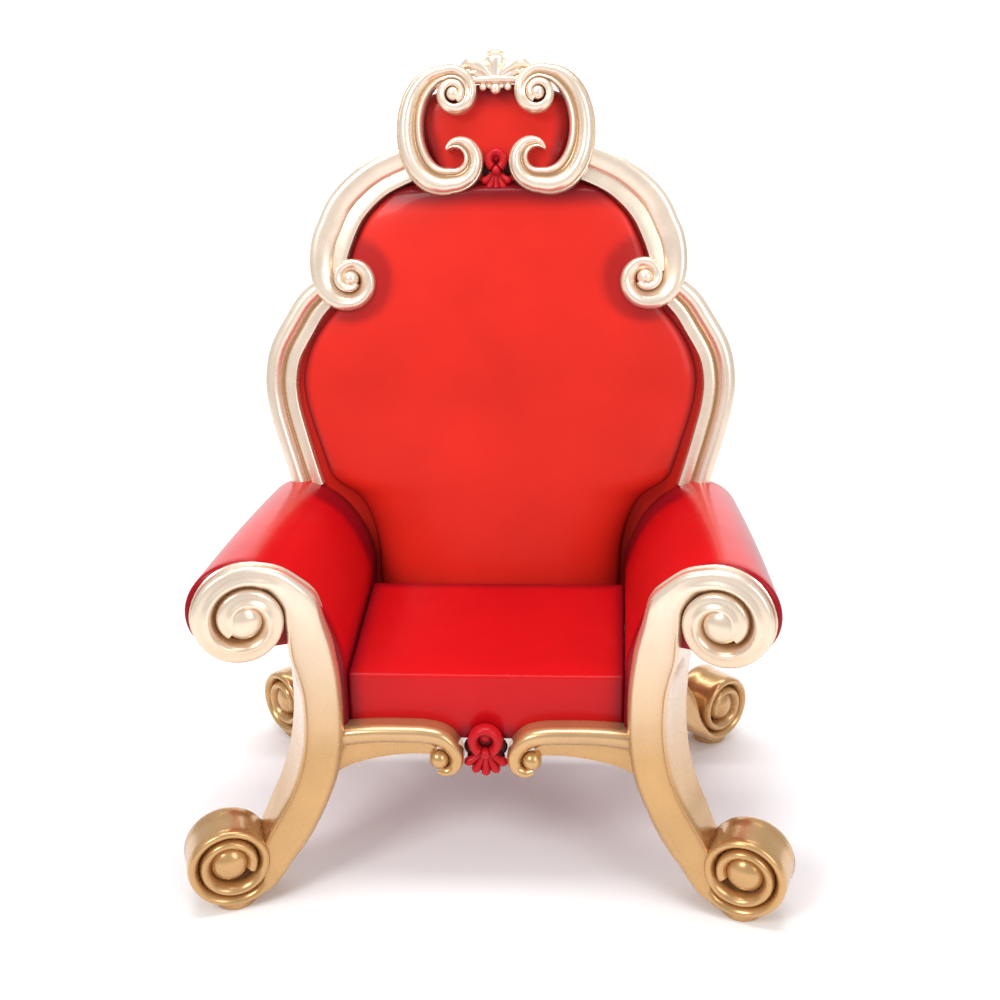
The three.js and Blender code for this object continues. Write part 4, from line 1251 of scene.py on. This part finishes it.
class THRONE_OT_rear_legs(bpy.types.Operator):
    """Make the two rear legs"""
    bl_idname, bl_label = "throne.rear_legs", "Rear legs"

    def execute(self, context):
        pair(rear_leg, "rear_leg", finish_of("gold"))
        return {"FINISHED"}


class THRONE_OT_back_frame(bpy.types.Operator):
    """Make the side rails, shoulder scrolls and crest scrolls round the back"""
    bl_idname, bl_label = "throne.back_frame", "Frame of the back"

    def execute(self, context):
        pair(side_rail, "side_rail", finish_of("gold"))
        pair(shoulder_scroll, "shoulder_scroll", finish_of("gold"))
        pair(crest_scroll, "crest_scroll", finish_of("gold"))
        return {"FINISHED"}


class THRONE_OT_apron(bpy.types.Operator):
    """Make the apron scrolls under the seat's front"""
    bl_idname, bl_label = "throne.apron", "Apron scrolls"

    def execute(self, context):
        pair(apron_scroll, "apron_scroll", finish_of("gold"))
        return {"FINISHED"}


class THRONE_OT_arms(bpy.types.Operator):
    """Make the two rolled arms"""
    bl_idname, bl_label = "throne.arms", "Arms"

    def execute(self, context):
        pair(arm_shell, "arm", finish_of("arm"))
        return {"FINISHED"}


class THRONE_OT_seat(bpy.types.Operator):
    """Make the seat"""
    bl_idname, bl_label = "throne.seat", "Seat"

    def execute(self, context):
        bm = bmesh.new()
        seat_shell(bm)
        finish(bm, "seat", finish_of("arm"))
        return {"FINISHED"}


class THRONE_OT_back(bpy.types.Operator):
    """Make the crowned back panel"""
    bl_idname, bl_label = "throne.back", "Back panel"

    def execute(self, context):
        bm = bmesh.new()
        back_shell(bm)
        finish(bm, "back_panel", finish_of("back"))
        return {"FINISHED"}


class THRONE_OT_ornaments(bpy.types.Operator):
    """Make the finial and the two rosettes"""
    bl_idname, bl_label = "throne.ornaments", "Finial and rosettes"

    def execute(self, context):
        bm = bmesh.new()
        finial(bm)
        finish(bm, "crest_finial", finish_of("gold"))
        for name, face, shape in (
                ("crest_rosette", back_face, CREST_ROSETTE), ("apron_rosette", apron_face, APRON_ROSETTE)):
            bm = bmesh.new()
            rosette(bm, face, shape)
            finish(bm, name, finish_of("crimson"))
        return {"FINISHED"}


class THRONE_OT_stage(bpy.types.Operator):
    """Set the floor, the lights and the camera"""
    bl_idname, bl_label = "throne.stage", "Stage"

    def execute(self, context):
        stage = context.scene.throne_stage
        studio_sky(context)
        studio_floor(context)
        for settings in LAMPS:
            lamp(context, **settings)
        data = bpy.data.cameras.new("camera")
        data.lens = stage.lens
        data.sensor_width = SENSOR
        camera = bpy.data.objects.new("camera", data)
        context.scene.collection.objects.link(camera)
        pan = Matrix.Rotation(stage.camera_pan, 4, "Z")
        tilt = Matrix.Rotation(math.pi / 2 - stage.camera_tilt, 4, "X")
        roll = Matrix.Rotation(-stage.camera_roll, 4, "Z")
        spot = Vector((stage.camera_side, SEAT_FRONT * MM - stage.camera_ahead, stage.camera_height))
        camera.matrix_world = Matrix.Translation(spot) @ pan @ tilt @ roll
        context.scene.camera = camera
        context.scene.view_settings.view_transform = "Standard"
        return {"FINISHED"}


CLASSES = (
    ThroneMouldingSizes, ThroneLegSizes, ThroneShellSizes, ThroneFinishes, ThroneStageSizes,
    THRONE_OT_front_legs, THRONE_OT_rear_legs, THRONE_OT_back_frame, THRONE_OT_apron, THRONE_OT_arms,
    THRONE_OT_seat, THRONE_OT_back, THRONE_OT_ornaments, THRONE_OT_stage,
)
STEPS = ("front_legs", "rear_legs", "back_frame", "apron", "arms", "seat", "back", "ornaments", "stage")
GROUPS = {
    "throne_mouldings": ThroneMouldingSizes, "throne_legs": ThroneLegSizes, "throne_shells": ThroneShellSizes,
    "throne_finishes": ThroneFinishes, "throne_stage": ThroneStageSizes,
}


class THRONE_PT_panel(bpy.types.Panel):
    """Lists the throne's pieces"""
    bl_idname, bl_label = "THRONE_PT_panel", "Throne"
    bl_space_type, bl_region_type, bl_category = "VIEW_3D", "UI", "Throne"

    def draw(self, context):
        for step in STEPS:
            self.layout.operator("throne." + step)
        for group, kind in GROUPS.items():
            box = self.layout.box()
            for key in kind.__annotations__:
                box.prop(getattr(context.scene, group), key)


def register():
    for cls in (*CLASSES, THRONE_PT_panel):
        bpy.utils.register_class(cls)
    for name, kind in GROUPS.items():
        setattr(bpy.types.Scene, name, bpy.props.PointerProperty(type=kind))


def unregister():
    for name in GROUPS:
        delattr(bpy.types.Scene, name)
    for cls in reversed((*CLASSES, THRONE_PT_panel)):
        bpy.utils.unregister_class(cls)


def main():
    register()
    for step in STEPS:
        getattr(bpy.ops.throne, step)()


if __name__ == "__main__":
    main()
